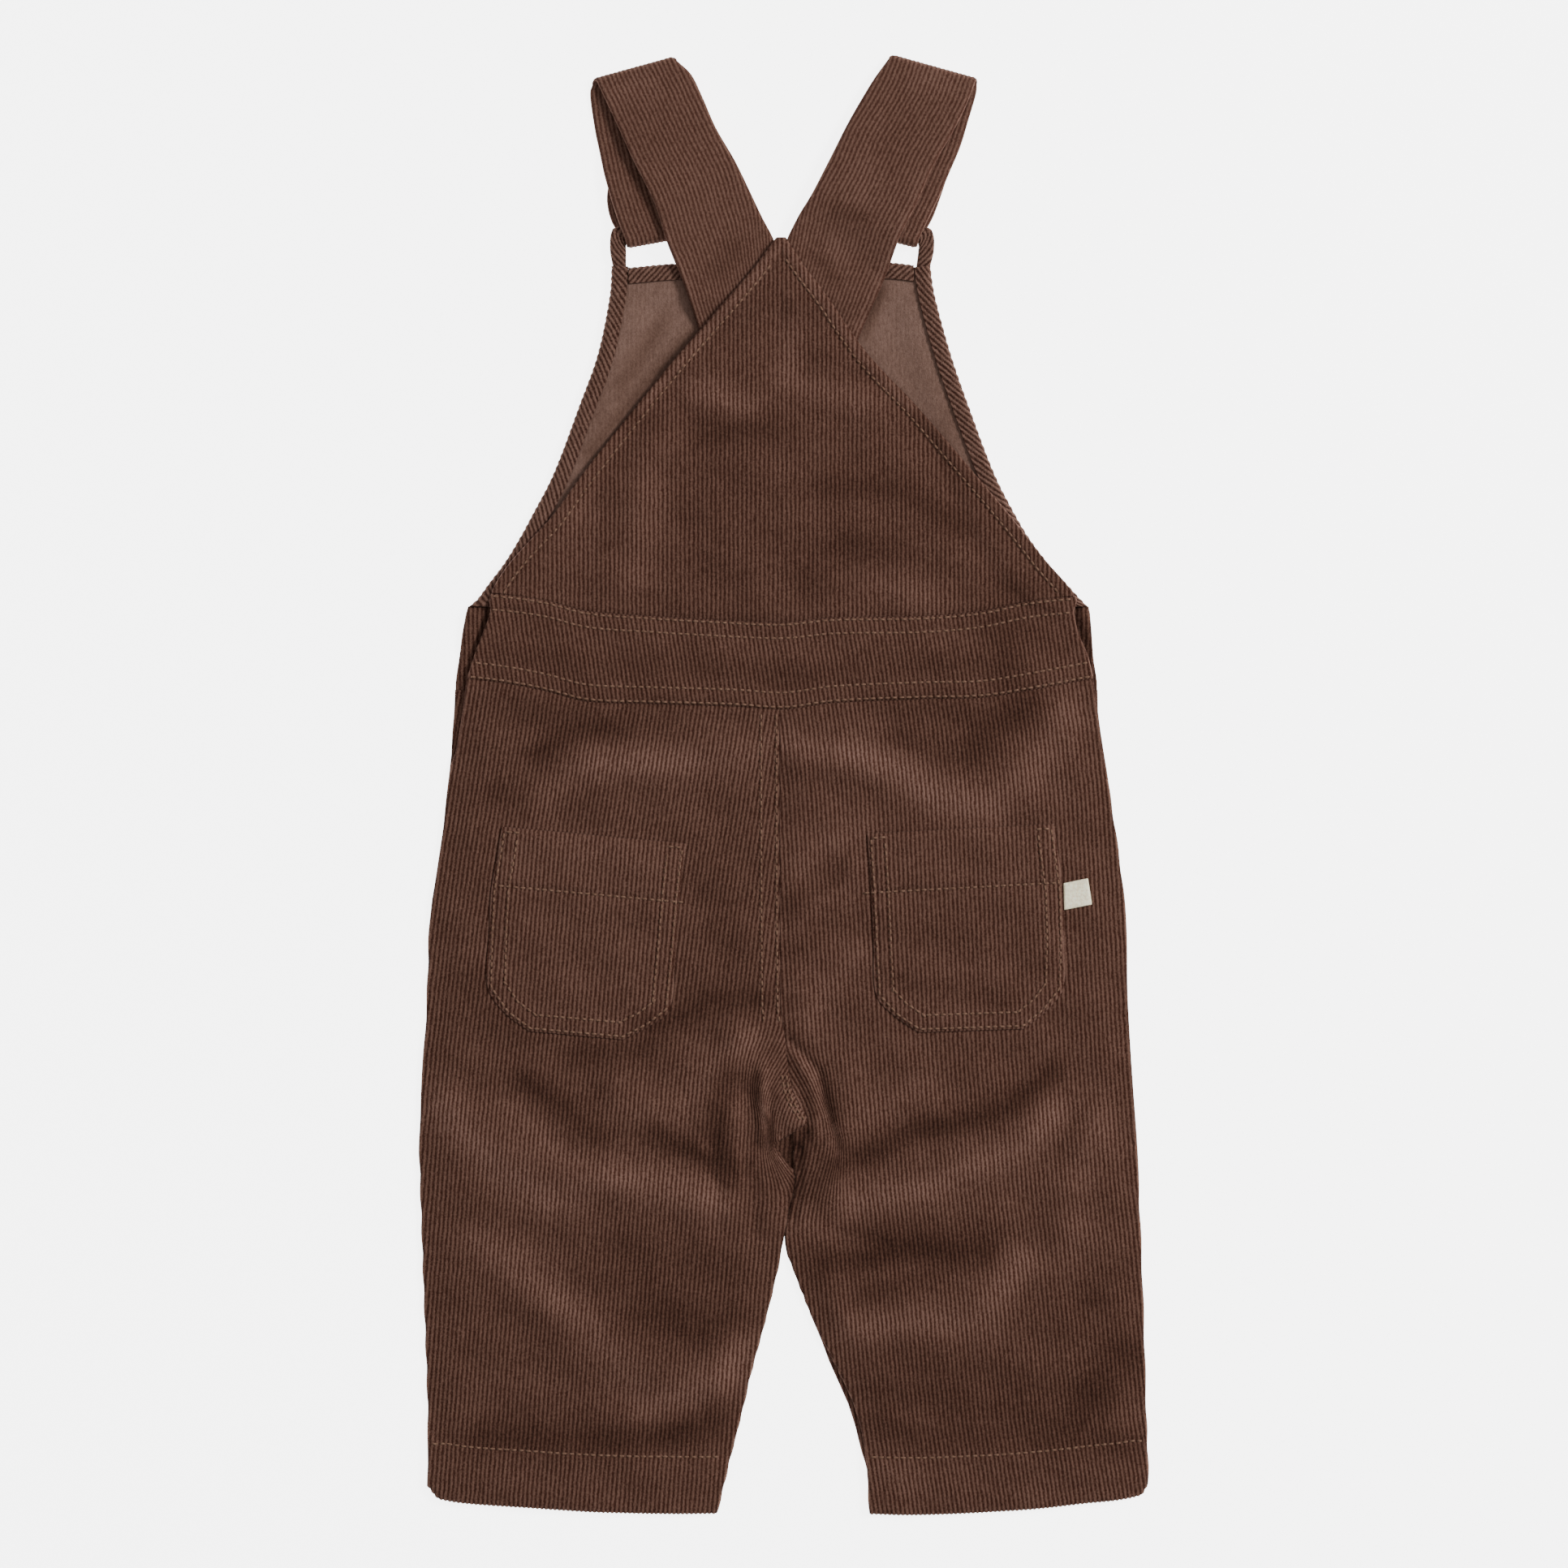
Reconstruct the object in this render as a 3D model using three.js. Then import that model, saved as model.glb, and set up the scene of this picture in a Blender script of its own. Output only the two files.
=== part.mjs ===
import * as THREE from "three";

// Toddler overalls in corduroy, laid flat with the back side up.
// Millimetres. +Y points from the hems to the shoulders, +Z up, and the floor is z = 0.
// The front layer lies on the floor, the back layer on it, and the pockets on that one.

// Cloth
const CLOTH = 1.2;
const HEM_CLOTH = 1.8;
const WAIST_CLOTH = 2.0;
const BIAS_CLOTH = 1.0;
const TAB_CLOTH = 1.0;
const STRAP_CLOTH = 2.0;
const GAP = 0.3;
const HALF_GAP = GAP / 2;
const RIM = 0.4;

// Sizes
const HEM_DEPTH = 23;
const POCKET_HEM = 24;
const BINDING_WIDTH = 7;
const BIB_FOOT = 73;
const FRONT_WAIST_FOOT = 38.6;
const BACK_PEAK = 223.5;
const CROTCH = -186;
const LOOP_TAPE = 2.0;
const PUFF = 1.2;

// Height that the front bib's edge takes inside its binding, and the binding's own height
const BIB_EDGE_LIFT = BIAS_CLOTH + GAP;
const BINDING_HEIGHT = 2 * BIAS_CLOTH + CLOTH + 2 * GAP;

// Outer edges of the front layer (left, right) and of the back layer, from the hems up
const OUTLINE = [
  { y: -300, left: -145.6, right: 149.2, backLeft: -145.6, backRight: 149.2 },
  { y: -287, left: -146.0, right: 149.2, backLeft: -146.0, backRight: 149.2 },
  { y: -262, left: -145.7, right: 148.4, backLeft: -145.7, backRight: 148.4 },
  { y: -212, left: -147.3, right: 147.0, backLeft: -147.3, backRight: 147.0 },
  { y: -161, left: -149.0, right: 145.0, backLeft: -149.0, backRight: 145.0 },
  { y: -141, left: -149.2, right: 144.0, backLeft: -149.2, backRight: 144.0 },
  { y: -91, left: -146.3, right: 141.0, backLeft: -146.3, backRight: 141.0 },
  { y: -52, left: -144.7, right: 139.6, backLeft: -144.7, backRight: 139.6 },
  { y: -31, left: -141.3, right: 137.3, backLeft: -141.3, backRight: 137.3 },
  { y: 5, left: -136.9, right: 132.2, backLeft: -136.6, backRight: 131.9 },
  { y: 18, left: -136.0, right: 130.3, backLeft: -133.4, backRight: 129.8 },
  { y: 32, left: -134.9, right: 128.5, backLeft: -131.3, backRight: 128.0 },
  { y: 42, left: -134.6, right: 128.3, backLeft: -130.0, backRight: 126.8 },
  { y: 52, left: -133.1, right: 126.8, backLeft: -127.1, backRight: 124.6 },
  { y: 62, left: -131.8, right: 126.1, backLeft: -123.3, backRight: 120.6 },
  { y: 70, left: -130.3, right: 125.4, backLeft: -120.3, backRight: 118.6 },
  { y: 76, left: -126.0, right: 121.8, backLeft: -120.4, backRight: 119.6 },
  { y: 82, left: -121.6, right: 116.4, backLeft: -118.0, backRight: 115.4 },
  { y: 91, left: -114.8, right: 108.3, backLeft: -111.8, backRight: 107.4 },
  { y: 101, left: -108.7, right: 100.8, backLeft: -102.8, backRight: 99.6 },
  { y: 110, left: -103.8, right: 95.4, backLeft: -94.6, backRight: 92.4 },
  { y: 127, left: -95.0, right: 86.7, backLeft: -82.4, backRight: 78.0 },
  { y: 156, left: -84.0, right: 75.7, backLeft: -59.6, backRight: 53.2 },
  { y: 176, left: -76.8, right: 68.8, backLeft: -43.0, backRight: 34.2 },
  { y: 200, left: -71.8, right: 62.2, backLeft: -21.8, backRight: 17.2 },
  { y: 212, left: -71.0, right: 60.4, backLeft: -11.6, backRight: 8.2 },
  { y: 224, left: -71.0, right: 60.0, backLeft: -2.6, backRight: 0.2 },
];

// Inner edges of the legs: the centre seam down to the crotch, then the two inseams
const INNER = [
  { y: 46, left: -2.15, right: -1.85, backRight: -1.85 },
  { y: -90, left: -1.65, right: -1.35, backRight: -1.35 },
  { y: -102, left: -0.35, right: -0.05, backRight: -0.05 },
  { y: -126, left: 2.85, right: 3.15, backRight: 3.15 },
  { y: -144, left: 4.85, right: 5.15, backRight: 5.15 },
  { y: -163, left: 4.05, right: 4.35, backRight: 4.35 },
  { y: -180, left: 0.85, right: 1.35, backRight: 1.35 },
  { y: -188, left: -0.9, right: 0.6, backRight: 0.6 },
  { y: -201, left: -3.4, right: 4.9, backRight: 4.9 },
  { y: -221, left: -8.3, right: 12.7, backRight: 12.9 },
  { y: -241, left: -13.7, right: 20.7, backRight: 22.8 },
  { y: -256, left: -17.2, right: 27.2, backRight: 29.6 },
  { y: -272, left: -21.3, right: 31.8, backRight: 33.2 },
  { y: -284, left: -24.2, right: 34.7, backRight: 34.7 },
  { y: -300, left: -28.0, right: 35.3, backRight: 35.3 },
];

// Seams over and under the back waistband, from side to side
const WAIST = [
  { x: -134, upper: 78.6, lower: 43.6 },
  { x: -115, upper: 77.6, lower: 41.4 },
  { x: -98, upper: 75.2, lower: 38.2 },
  { x: -81, upper: 70.9, lower: 33.9 },
  { x: -54, upper: 68.8, lower: 32.8 },
  { x: -20, upper: 66.9, lower: 31.8 },
  { x: 0, upper: 66.3, lower: 30.6 },
  { x: 20, upper: 68.2, lower: 33.2 },
  { x: 57, upper: 68.8, lower: 34.8 },
  { x: 81, upper: 70.9, lower: 35.4 },
  { x: 101, upper: 75.0, lower: 38.5 },
  { x: 132, upper: 78.0, lower: 44.4 },
];

// Lower edge of the hems
const HEM = [
  { x: -146, y: -287.6 },
  { x: -141, y: -293.0 },
  { x: -103, y: -296.5 },
  { x: -70, y: -298.4 },
  { x: -28, y: -298.9 },
  { x: 35, y: -299.1 },
  { x: 60, y: -299.2 },
  { x: 97, y: -297.3 },
  { x: 123, y: -294.6 },
  { x: 146, y: -291.4 },
  { x: 149, y: -287.0 },
];

// Top edge of the front bib, outside its binding
const BIB_TOP = [
  { x: -72, y: 211.4 },
  { x: -63, y: 212.2 },
  { x: -44, y: 213.8 },
  { x: 0, y: 214.2 },
  { x: 43, y: 214.2 },
  { x: 52, y: 213.3 },
  { x: 61, y: 212.0 },
];

// Soft folds of the back layer, each a ridge between two points
const FOLDS = [
  { x1: -140, y1: -130, x2: -108, y2: -156, width: 9, height: 1.7 },
  { x1: -108, y1: -156, x2: -26, y2: -173, width: 10, height: 1.9 },
  { x1: -68, y1: -129, x2: -38, y2: -140, width: 8, height: 1.2 },
  { x1: -122, y1: -196, x2: -88, y2: -222, width: 10, height: 1.4 },
  { x1: -88, y1: -222, x2: -24, y2: -246, width: 11, height: 1.7 },
  { x1: -34, y1: -138, x2: -20, y2: -106, width: 7, height: 1.7 },
  { x1: -24, y1: -176, x2: -18, y2: -142, width: 7, height: 1.3 },
  { x1: 44, y1: -176, x2: 104, y2: -136, width: 10, height: 1.9 },
  { x1: 22, y1: -218, x2: 88, y2: -208, width: 11, height: 1.7 },
  { x1: 18, y1: -168, x2: 26, y2: -118, width: 8, height: 1.5 },
  { x1: 112, y1: -180, x2: 126, y2: -140, width: 9, height: 1.0 },
  { x1: -76, y1: 12, x2: -22, y2: 16, width: 9, height: 1.3 },
  { x1: 10, y1: 10, x2: 50, y2: 8, width: 9, height: 1.3 },
  { x1: 58, y1: -6, x2: 98, y2: 0, width: 9, height: 1.3 },
  { x1: -36, y1: 159, x2: -10, y2: 156, width: 9, height: 1.0 },
  { x1: 14, y1: 158, x2: 34, y2: 154, width: 9, height: 0.9 },
  { x1: -66, y1: 88, x2: -50, y2: 150, width: 10, height: 1.0 },
  { x1: 12, y1: 112, x2: 66, y2: 104, width: 12, height: 0.8 },
];

// Pocket edges: left and right sides from the bottom corner up
const POCKETS = {
  left: {
    leftSide: [[-104.3, -101.2], [-114, -94], [-121.2, -83.5], [-120.6, -60], [-119.8, -44], [-115.4, -17.8]],
    rightSide: [[-66, -104.6], [-56, -99.6], [-47.4, -93], [-45, -70], [-43, -46], [-40.4, -24.6]],
  },
  right: {
    leftSide: [[55.3, -101.6], [46, -95.4], [38.2, -87], [37, -66], [36, -43], [34.4, -20.6]],
    rightSide: [[98.3, -100.2], [107, -93.2], [114.1, -84], [114.6, -64], [114.1, -44], [110.4, -16.6]],
  },
};

// Tab corners in turn: lower left, lower right, upper right, upper left
const TAB = [[115.1, -51.4], [126, -49.2], [124.4, -38.9], [114.8, -40.9]];

// Straps as cross rows, each from the outer to the inner edge at mid thickness
const STRAPS = {
  left: {
    back: [
      { outer: [-29.9, 172.6, 2.6], inner: [-2.7, 214, 2.6] },
      { outer: [-33.7, 183.5, 2.0], inner: [-3.9, 221.6, 5.2] },
      { outer: [-41.0, 205.2, 5.2], inner: [-9.5, 232.6, 5.6] },
      { outer: [-47.6, 221.8, 8.5], inner: [-13.6, 241.2, 6.3] },
      { outer: [-53.0, 238.2, 8.5], inner: [-20.2, 254.8, 6.2] },
      { outer: [-61.0, 254.5, 7.1], inner: [-28.2, 268.8, 5.2] },
      { outer: [-67.2, 268.2, 5.4], inner: [-33.6, 281.2, 4.6] },
      { outer: [-71.8, 278.2, 4.6], inner: [-38.2, 290.6, 4.2] },
      { outer: [-76.2, 287.6, 4.0], inner: [-44.2, 296.5, 4.0] },
    ],
    front: [
      { outer: [-78.4, 287.2, 1.05], inner: [-45.4, 296.2, 1.05] },
      { outer: [-79.3, 282.6, 1.05], inner: [-45.2, 289.2, 1.05] },
      { outer: [-77.3, 268.5, 1.05], inner: [-42.7, 274.2, 1.05] },
      { outer: [-75.4, 259.4, 1.5], inner: [-41.4, 264.2, 1.5] },
      { outer: [-73.4, 250.0, 3.3], inner: [-41.0, 253.4, 3.3] },
      { outer: [-70.6, 240.0, 4.4], inner: [-41.2, 243.2, 4.4] },
      { outer: [-67.6, 230.6, 5.4], inner: [-42.0, 234.4, 5.4] },
      { outer: [-64.6, 222.8, 5.6], inner: [-42.4, 226.8, 5.6] },
    ],
    tail: [
      { outer: [-64.6, 222.8, 1.05], inner: [-42.6, 226.8, 1.05] },
      { outer: [-70.2, 230.4, 1.05], inner: [-43.2, 234.6, 1.05] },
      { outer: [-72.8, 239.4, 1.05], inner: [-43.4, 242.4, 1.05] },
      { outer: [-73.4, 247.4, 1.05], inner: [-43.2, 249.6, 1.05] },
    ],
  },
  right: {
    back: [
      { outer: [27.7, 174.0, 2.6], inner: [-0.5, 214, 2.6] },
      { outer: [31.3, 185.2, 2.0], inner: [0.9, 221.6, 5.2] },
      { outer: [40.6, 206.2, 5.2], inner: [6.2, 232.6, 5.6] },
      { outer: [46.8, 223.2, 8.5], inner: [11.8, 241.8, 6.3] },
      { outer: [54.0, 237.6, 8.5], inner: [19.0, 255.8, 6.2] },
      { outer: [61.0, 253.4, 7.1], inner: [26.0, 269.8, 5.2] },
      { outer: [68.4, 266.4, 5.4], inner: [32.2, 280.8, 4.6] },
      { outer: [74.4, 278.2, 4.6], inner: [37.6, 289.6, 4.2] },
      { outer: [78.0, 287.6, 4.0], inner: [43.2, 297.3, 4.0] },
    ],
    front: [
      { outer: [78.9, 287.4, 1.05], inner: [44.2, 297.1, 1.05] },
      { outer: [78.5, 283.2, 1.05], inner: [43.6, 291.6, 1.05] },
      { outer: [75.4, 272.6, 1.05], inner: [41.0, 281.4, 1.05] },
      { outer: [72.2, 262.0, 1.5], inner: [38.4, 270.4, 1.5] },
      { outer: [67.8, 251.4, 3.3], inner: [35.6, 258.6, 3.3] },
      { outer: [63.2, 240.6, 4.4], inner: [34.2, 247.4, 4.4] },
      { outer: [58.6, 231.0, 5.4], inner: [33.4, 237.2, 5.4] },
      { outer: [54.9, 222.9, 5.6], inner: [33.4, 228.2, 5.6] },
    ],
    tail: [
      { outer: [54.9, 222.9, 1.05], inner: [33.6, 228.2, 1.05] },
      { outer: [60.2, 231.4, 1.05], inner: [34.2, 236.4, 1.05] },
      { outer: [63.6, 240.0, 1.05], inner: [35.0, 244.4, 1.05] },
      { outer: [66.4, 248.4, 1.05], inner: [36.2, 252.4, 1.05] },
    ],
  },
};

// Loops as cross rows: up the outer leg, along the bar inside the strap, down the inner leg
const LOOPS = {
  left: [
    { outer: [-70.6, 212.2, 2.3], inner: [-65.2, 212.9, 2.3] },
    { outer: [-71.0, 218.6, 3.3], inner: [-65.1, 218.0, 3.3] },
    { outer: [-70.6, 226.0, 3.3], inner: [-65.0, 221.4, 3.3] },
    { outer: [-67.6, 228.4, 3.3], inner: [-63.4, 223.0, 3.3] },
    { outer: [-54.0, 230.4, 3.3], inner: [-54.0, 224.8, 3.3] },
    { outer: [-38.4, 231.4, 3.3], inner: [-42.6, 226.6, 3.3] },
    { outer: [-35.8, 229.4, 3.3], inner: [-41.6, 225.2, 3.3] },
    { outer: [-35.6, 221.0, 3.1], inner: [-41.6, 221.0, 3.1] },
    { outer: [-35.6, 214.6, 2.3], inner: [-41.6, 214.6, 2.3] },
  ],
  right: [
    { outer: [60.2, 212.6, 2.3], inner: [54.4, 213.6, 2.3] },
    { outer: [61.2, 219.0, 3.3], inner: [55.4, 218.4, 3.3] },
    { outer: [60.9, 225.6, 3.3], inner: [55.4, 221.4, 3.3] },
    { outer: [57.8, 228.4, 3.3], inner: [53.6, 223.3, 3.3] },
    { outer: [44.6, 231.4, 3.3], inner: [44.6, 225.6, 3.3] },
    { outer: [29.4, 233.2, 3.3], inner: [33.6, 228.0, 3.3] },
    { outer: [26.9, 231.2, 3.3], inner: [32.8, 226.8, 3.3] },
    { outer: [26.8, 221.6, 3.1], inner: [32.8, 221.6, 3.1] },
    { outer: [26.8, 214.8, 2.3], inner: [32.8, 214.8, 2.3] },
  ],
};

const CORD = new THREE.MeshStandardMaterial({ color: 0x50362c, roughness: 0.95, metalness: 0 });
const CORD_BIAS = new THREE.MeshStandardMaterial({ color: 0x5b4036, roughness: 0.95, metalness: 0 });
const CORD_STRAP = new THREE.MeshStandardMaterial({ color: 0x60443a, roughness: 0.95, metalness: 0 });
const WRONG_SIDE = new THREE.MeshStandardMaterial({ color: 0x70554a, roughness: 0.9, metalness: 0 });
const TAB_WEAVE = new THREE.MeshStandardMaterial({ color: 0xe6dfd0, roughness: 0.8, metalness: 0 });

function mix(from, to, part) {
  return from + (to - from) * part;
}

// Soft step from 0 to 1 while its value goes from 0 to 1
function ease(value) {
  const t = Math.min(Math.max(value, 0), 1);
  return t * t * (3 - 2 * t);
}

// One column of a table at a place between its rows, joined by a smooth curve
function read(table, key, at, column) {
  const last = table.length - 2;
  const falling = table[0][key] > table[1][key];
  let row = table.findIndex((r, i) => i > 0 && (falling ? at > r[key] : at < r[key])) - 1;
  row = row < 0 ? last : Math.min(row, last);
  const slope = (i) => {
    const a = table[Math.max(i - 1, 0)];
    const b = table[Math.min(i + 1, table.length - 1)];
    return (b[column] - a[column]) / (b[key] - a[key]);
  };
  const [p, q] = [table[row], table[row + 1]];
  const span = q[key] - p[key];
  const t = Math.min(Math.max((at - p[key]) / span, 0), 1);
  const bend = p[column] * (2 * t ** 3 - 3 * t ** 2 + 1) + q[column] * (3 * t ** 2 - 2 * t ** 3);
  return bend + span * (slope(row) * (t ** 3 - 2 * t ** 2 + t) + slope(row + 1) * (t ** 3 - t ** 2));
}

const edgeAt = (y, column) => read(OUTLINE, "y", y, column);
const innerAt = (y, column) => read(INNER, "y", y, column);
const waistAt = (x, column) => read(WAIST, "x", x, column);
const hemAt = (x) => read(HEM, "x", x, "y");
const bibTopAt = (x) => read(BIB_TOP, "x", x, "y");

// Distance from a point to the nearer side edge, measured square to that edge
function fromSide(x, y, leftColumn, rightColumn) {
  const square = (column) => 1 / Math.hypot(1, (edgeAt(y + 1, column) - edgeAt(y - 1, column)) / 2);
  const left = (x - edgeAt(y, leftColumn)) * square(leftColumn);
  const right = (edgeAt(y, rightColumn) - x) * square(rightColumn);
  return Math.min(left, right);
}

// Distance from a point to the nearer inseam below the crotch
function fromInseam(x, y) {
  return x < 0 ? innerAt(y, "left") - x : x - innerAt(y, "backRight");
}

// Share of the hem at a point: 1 in the turned-up cloth, 0 above it
function hemShare(x, y) {
  return ease((hemAt(x) + HEM_DEPTH + 1.5 - y) / 3);
}

// Sum of the soft ridges at a point, each falling off with the distance from its line
function folds(x, y) {
  let sum = 0;
  for (const f of FOLDS) {
    const [dx, dy] = [f.x2 - f.x1, f.y2 - f.y1];
    const part = Math.min(Math.max(((x - f.x1) * dx + (y - f.y1) * dy) / (dx * dx + dy * dy), 0), 1);
    const away = Math.hypot(x - f.x1 - dx * part, y - f.y1 - dy * part) / f.width;
    sum += f.height * Math.exp(-away * away);
  }
  return sum;
}

// Mid height of a strap's end, which climbs from the bib's cloth onto the top binding
function strapMiddle(y) {
  return 2.6 + 2.65 * ease((y - 188) / 13);
}

// Underside of the front bib: on the floor, lifted where it enters its bindings
function bibRest(x, y) {
  const side = Math.min(fromSide(x, y, "left", "right"), bibTopAt(x) - y);
  return BIB_EDGE_LIFT * ease((BINDING_WIDTH + 14 - side) / 10.5);
}

// Underside of the back layer: close to the front layer at its edges and softly raised inside,
// with its folds, and lying over the side bindings and the strap ends
function backRest(x, y) {
  const side = fromSide(x, y, "backLeft", "backRight");
  const below = ease((CROTCH + 6 - y) / 14);
  const nearest = mix(side, Math.min(side, fromInseam(x, y)), below);
  const inside = ease(nearest / 14);
  const seam = Math.exp(-(((x - innerAt(Math.max(y, CROTCH), "left")) / 5) ** 2)) * ease((34 - y) / 8);
  const onBib = ease((y - 66) / 7);
  const onHem = ease((hemAt(x) + HEM_DEPTH + 9 - y) / 8);
  const base = CLOTH + GAP + (HEM_CLOTH - CLOTH) * onHem + bibRest(x, y) * onBib;
  const soft = base + (PUFF + folds(x, y)) * inside - 0.7 * seam * inside * (1 - below);
  const binding = BINDING_HEIGHT + GAP;
  const onBinding = ease((BINDING_WIDTH + 13 - fromSide(x, y, "left", "right")) / 10) * ease((y - 62) / 8);
  const strap = strapMiddle(y + 2) + STRAP_CLOTH / 2 + GAP + 0.3;
  const onStrap = ease((18 - side) / 6) * ease((y - 164) / 9);
  return Math.max(soft, mix(soft, binding, onBinding), mix(soft, strap, onStrap));
}

// Point of a net stretched between four edges that run left to right and bottom to top
function netPoint(edges, u, v) {
  const [b, t, l, r] = [edges.bottom(u), edges.top(u), edges.left(v), edges.right(v)];
  const [b0, b1, t0, t1] = [edges.bottom(0), edges.bottom(1), edges.top(0), edges.top(1)];
  return [0, 1].map((k) => {
    const corners = mix(mix(b0[k], b1[k], u), mix(t0[k], t1[k], u), v);
    return mix(b[k], t[k], v) + mix(l[k], r[k], u) - corners;
  });
}

function meshFrom(points, faces) {
  const geometry = new THREE.BufferGeometry();
  geometry.setAttribute("position", new THREE.Float32BufferAttribute(points.flat(), 3));
  geometry.setIndex(faces.flat());
  geometry.computeVertexNormals();
  return geometry;
}

// Closed cloth panel: a net for its underside, the same net above it and a rounded rim between.
// The net's columns and rows stand at the given parts of its width and height
function panel(edges, rest, thick, columnParts, rowParts) {
  const points = [];
  const faces = [];
  const columns = columnParts.length;
  const [across, along] = [columns - 1, rowParts.length - 1];
  const layer = columns * rowParts.length;
  const at = (i, j) => netPoint(edges, columnParts[i], rowParts[j]);
  const inset = (i, j) => {
    const [x, y] = at(i, j);
    const [nx, ny] = at(Math.min(Math.max(i, 1), across - 1), Math.min(Math.max(j, 1), along - 1));
    const length = Math.hypot(nx - x, ny - y);
    const move = length > 0 ? Math.min(RIM / length, 0.45) : 0;
    return [mix(x, nx, move), mix(y, ny, move)];
  };
  for (const face of [0, 1]) {
    for (let j = 0; j <= along; j++) {
      for (let i = 0; i <= across; i++) {
        const [x, y] = inset(i, j);
        points.push([x, y, rest(x, y) + face * thick(x, y)]);
      }
    }
  }
  for (let j = 0; j < along; j++) {
    for (let i = 0; i < across; i++) {
      const a = j * columns + i;
      const [b, c, d] = [a + 1, a + columns + 1, a + columns];
      faces.push([a, c, b], [a, d, c]);
      faces.push([a + layer, b + layer, c + layer], [a + layer, c + layer, d + layer]);
    }
  }
  const loop = [];
  for (let i = 0; i < across; i++) loop.push([i, 0]);
  for (let j = 0; j < along; j++) loop.push([across, j]);
  for (let i = across; i > 0; i--) loop.push([i, along]);
  for (let j = along; j > 0; j--) loop.push([0, j]);
  const rim = points.length;
  for (const [i, j] of loop) {
    const [x, y] = at(i, j);
    points.push([x, y, rest(x, y) + thick(x, y) / 2]);
  }
  loop.forEach(([i, j], k) => {
    const next = (k + 1) % loop.length;
    const a = j * columns + i;
    const b = loop[next][1] * columns + loop[next][0];
    faces.push([a, b, rim + next], [a, rim + next, rim + k]);
    faces.push([rim + k, rim + next, b + layer], [rim + k, b + layer, a + layer]);
  });
  return meshFrom(points, faces);
}

// Cross rows between two rows that lie over each other, carried round a half turn.
// The turn bulges towards the shoulders (toward = 1) or towards the hems (toward = -1)
function turn(from, to, steps, toward) {
  const width = new THREE.Vector2(from.inner[0] - from.outer[0], from.inner[1] - from.outer[1]);
  const away = new THREE.Vector2(-width.y, width.x).normalize();
  const radius = Math.abs(from.outer[2] - to.outer[2]) / 2;
  const bulge = toward * Math.sign(away.y) * radius;
  const rows = [];
  for (let k = 1; k < steps; k++) {
    const angle = (Math.PI * k) / steps;
    const part = (1 - Math.cos(angle)) / 2;
    const out = bulge * Math.sin(angle);
    const carry = (a, b) => [
      mix(a[0], b[0], part) + away.x * out,
      mix(a[1], b[1], part) + away.y * out,
      mix(a[2], b[2], part),
    ];
    rows.push({ outer: carry(from.outer, to.outer), inner: carry(from.inner, to.inner) });
  }
  return rows;
}

// Rows with one more row between each two, on a smooth curve through them
function smoothed(rows) {
  const curve = (side) => new THREE.CatmullRomCurve3(rows.map((r) => new THREE.Vector3(...r[side])));
  const [outer, inner] = [curve("outer"), curve("inner")];
  const steps = 2 * (rows.length - 1);
  return Array.from({ length: steps + 1 }, (_, k) => ({
    outer: outer.getPoint(k / steps).toArray(),
    inner: inner.getPoint(k / steps).toArray(),
  }));
}

// Closed band along its cross rows, flat between rounded edges
function band(rows, thick, rest, parts) {
  const rimPart = 0.03;
  const inner = parts.map((p) => mix(rimPart, 1 - rimPart, p));
  const middle = (row) => new THREE.Vector3(...row.outer).lerp(new THREE.Vector3(...row.inner), 0.5);
  const points = [];
  const faces = [];
  const ring = 2 * inner.length + 2;
  rows.forEach((row, k) => {
    const before = middle(rows[Math.max(k - 1, 0)]);
    const after = middle(rows[Math.min(k + 1, rows.length - 1)]);
    const [outer, far] = [new THREE.Vector3(...row.outer), new THREE.Vector3(...row.inner)];
    const across = far.clone().sub(outer);
    const normal = across.clone().cross(after.sub(before)).normalize();
    const point = (part, side) => {
      const p = outer.clone().lerp(far, part);
      p.z = rest(p.x, p.y, p.z);
      return p.addScaledVector(normal, (side * thick) / 2).toArray();
    };
    points.push(point(0, 0));
    inner.forEach((part) => points.push(point(part, 1)));
    points.push(point(1, 0));
    inner.slice().reverse().forEach((part) => points.push(point(part, -1)));
  });
  for (let k = 0; k + 1 < rows.length; k++) {
    for (let i = 0; i < ring; i++) {
      const [a, b] = [k * ring + i, k * ring + ((i + 1) % ring)];
      faces.push([a, b, b + ring], [a, b + ring, a + ring]);
    }
  }
  const end = (rows.length - 1) * ring;
  for (let i = 1; i + 1 < ring; i++) {
    faces.push([0, i + 1, i], [end, end + i, end + i + 1]);
  }
  return meshFrom(points, faces);
}

// Closed bias binding folded round an edge: its section runs along stations of the edge
function binding(stations) {
  const [w, h, c] = [BINDING_WIDTH, BINDING_HEIGHT, BIAS_CLOTH];
  const section = [
    [w, 0],
    [w, c],
    [c, c],
    [c, h - c],
    [w, h - c],
    [w, h],
    [0.6, h],
    [0, h - 0.6],
    [0, 0.6],
    [0.6, 0],
  ];
  const points = [];
  const faces = [];
  for (const { x, y, inX, inY } of stations) {
    section.forEach(([deep, z]) => points.push([x + inX * deep, y + inY * deep, z]));
  }
  const ring = section.length;
  for (let k = 0; k + 1 < stations.length; k++) {
    for (let i = 0; i < ring; i++) {
      const [a, b] = [k * ring + i, k * ring + ((i + 1) % ring)];
      faces.push([a, b + ring, b], [a, a + ring, b + ring]);
    }
  }
  const cap = THREE.ShapeUtils.triangulateShape(section.map((p) => new THREE.Vector2(...p)), []);
  const end = (stations.length - 1) * ring;
  for (const [a, b, d] of cap) {
    faces.push([a, b, d], [end + a, end + d, end + b]);
  }
  return meshFrom(points, faces);
}

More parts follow.
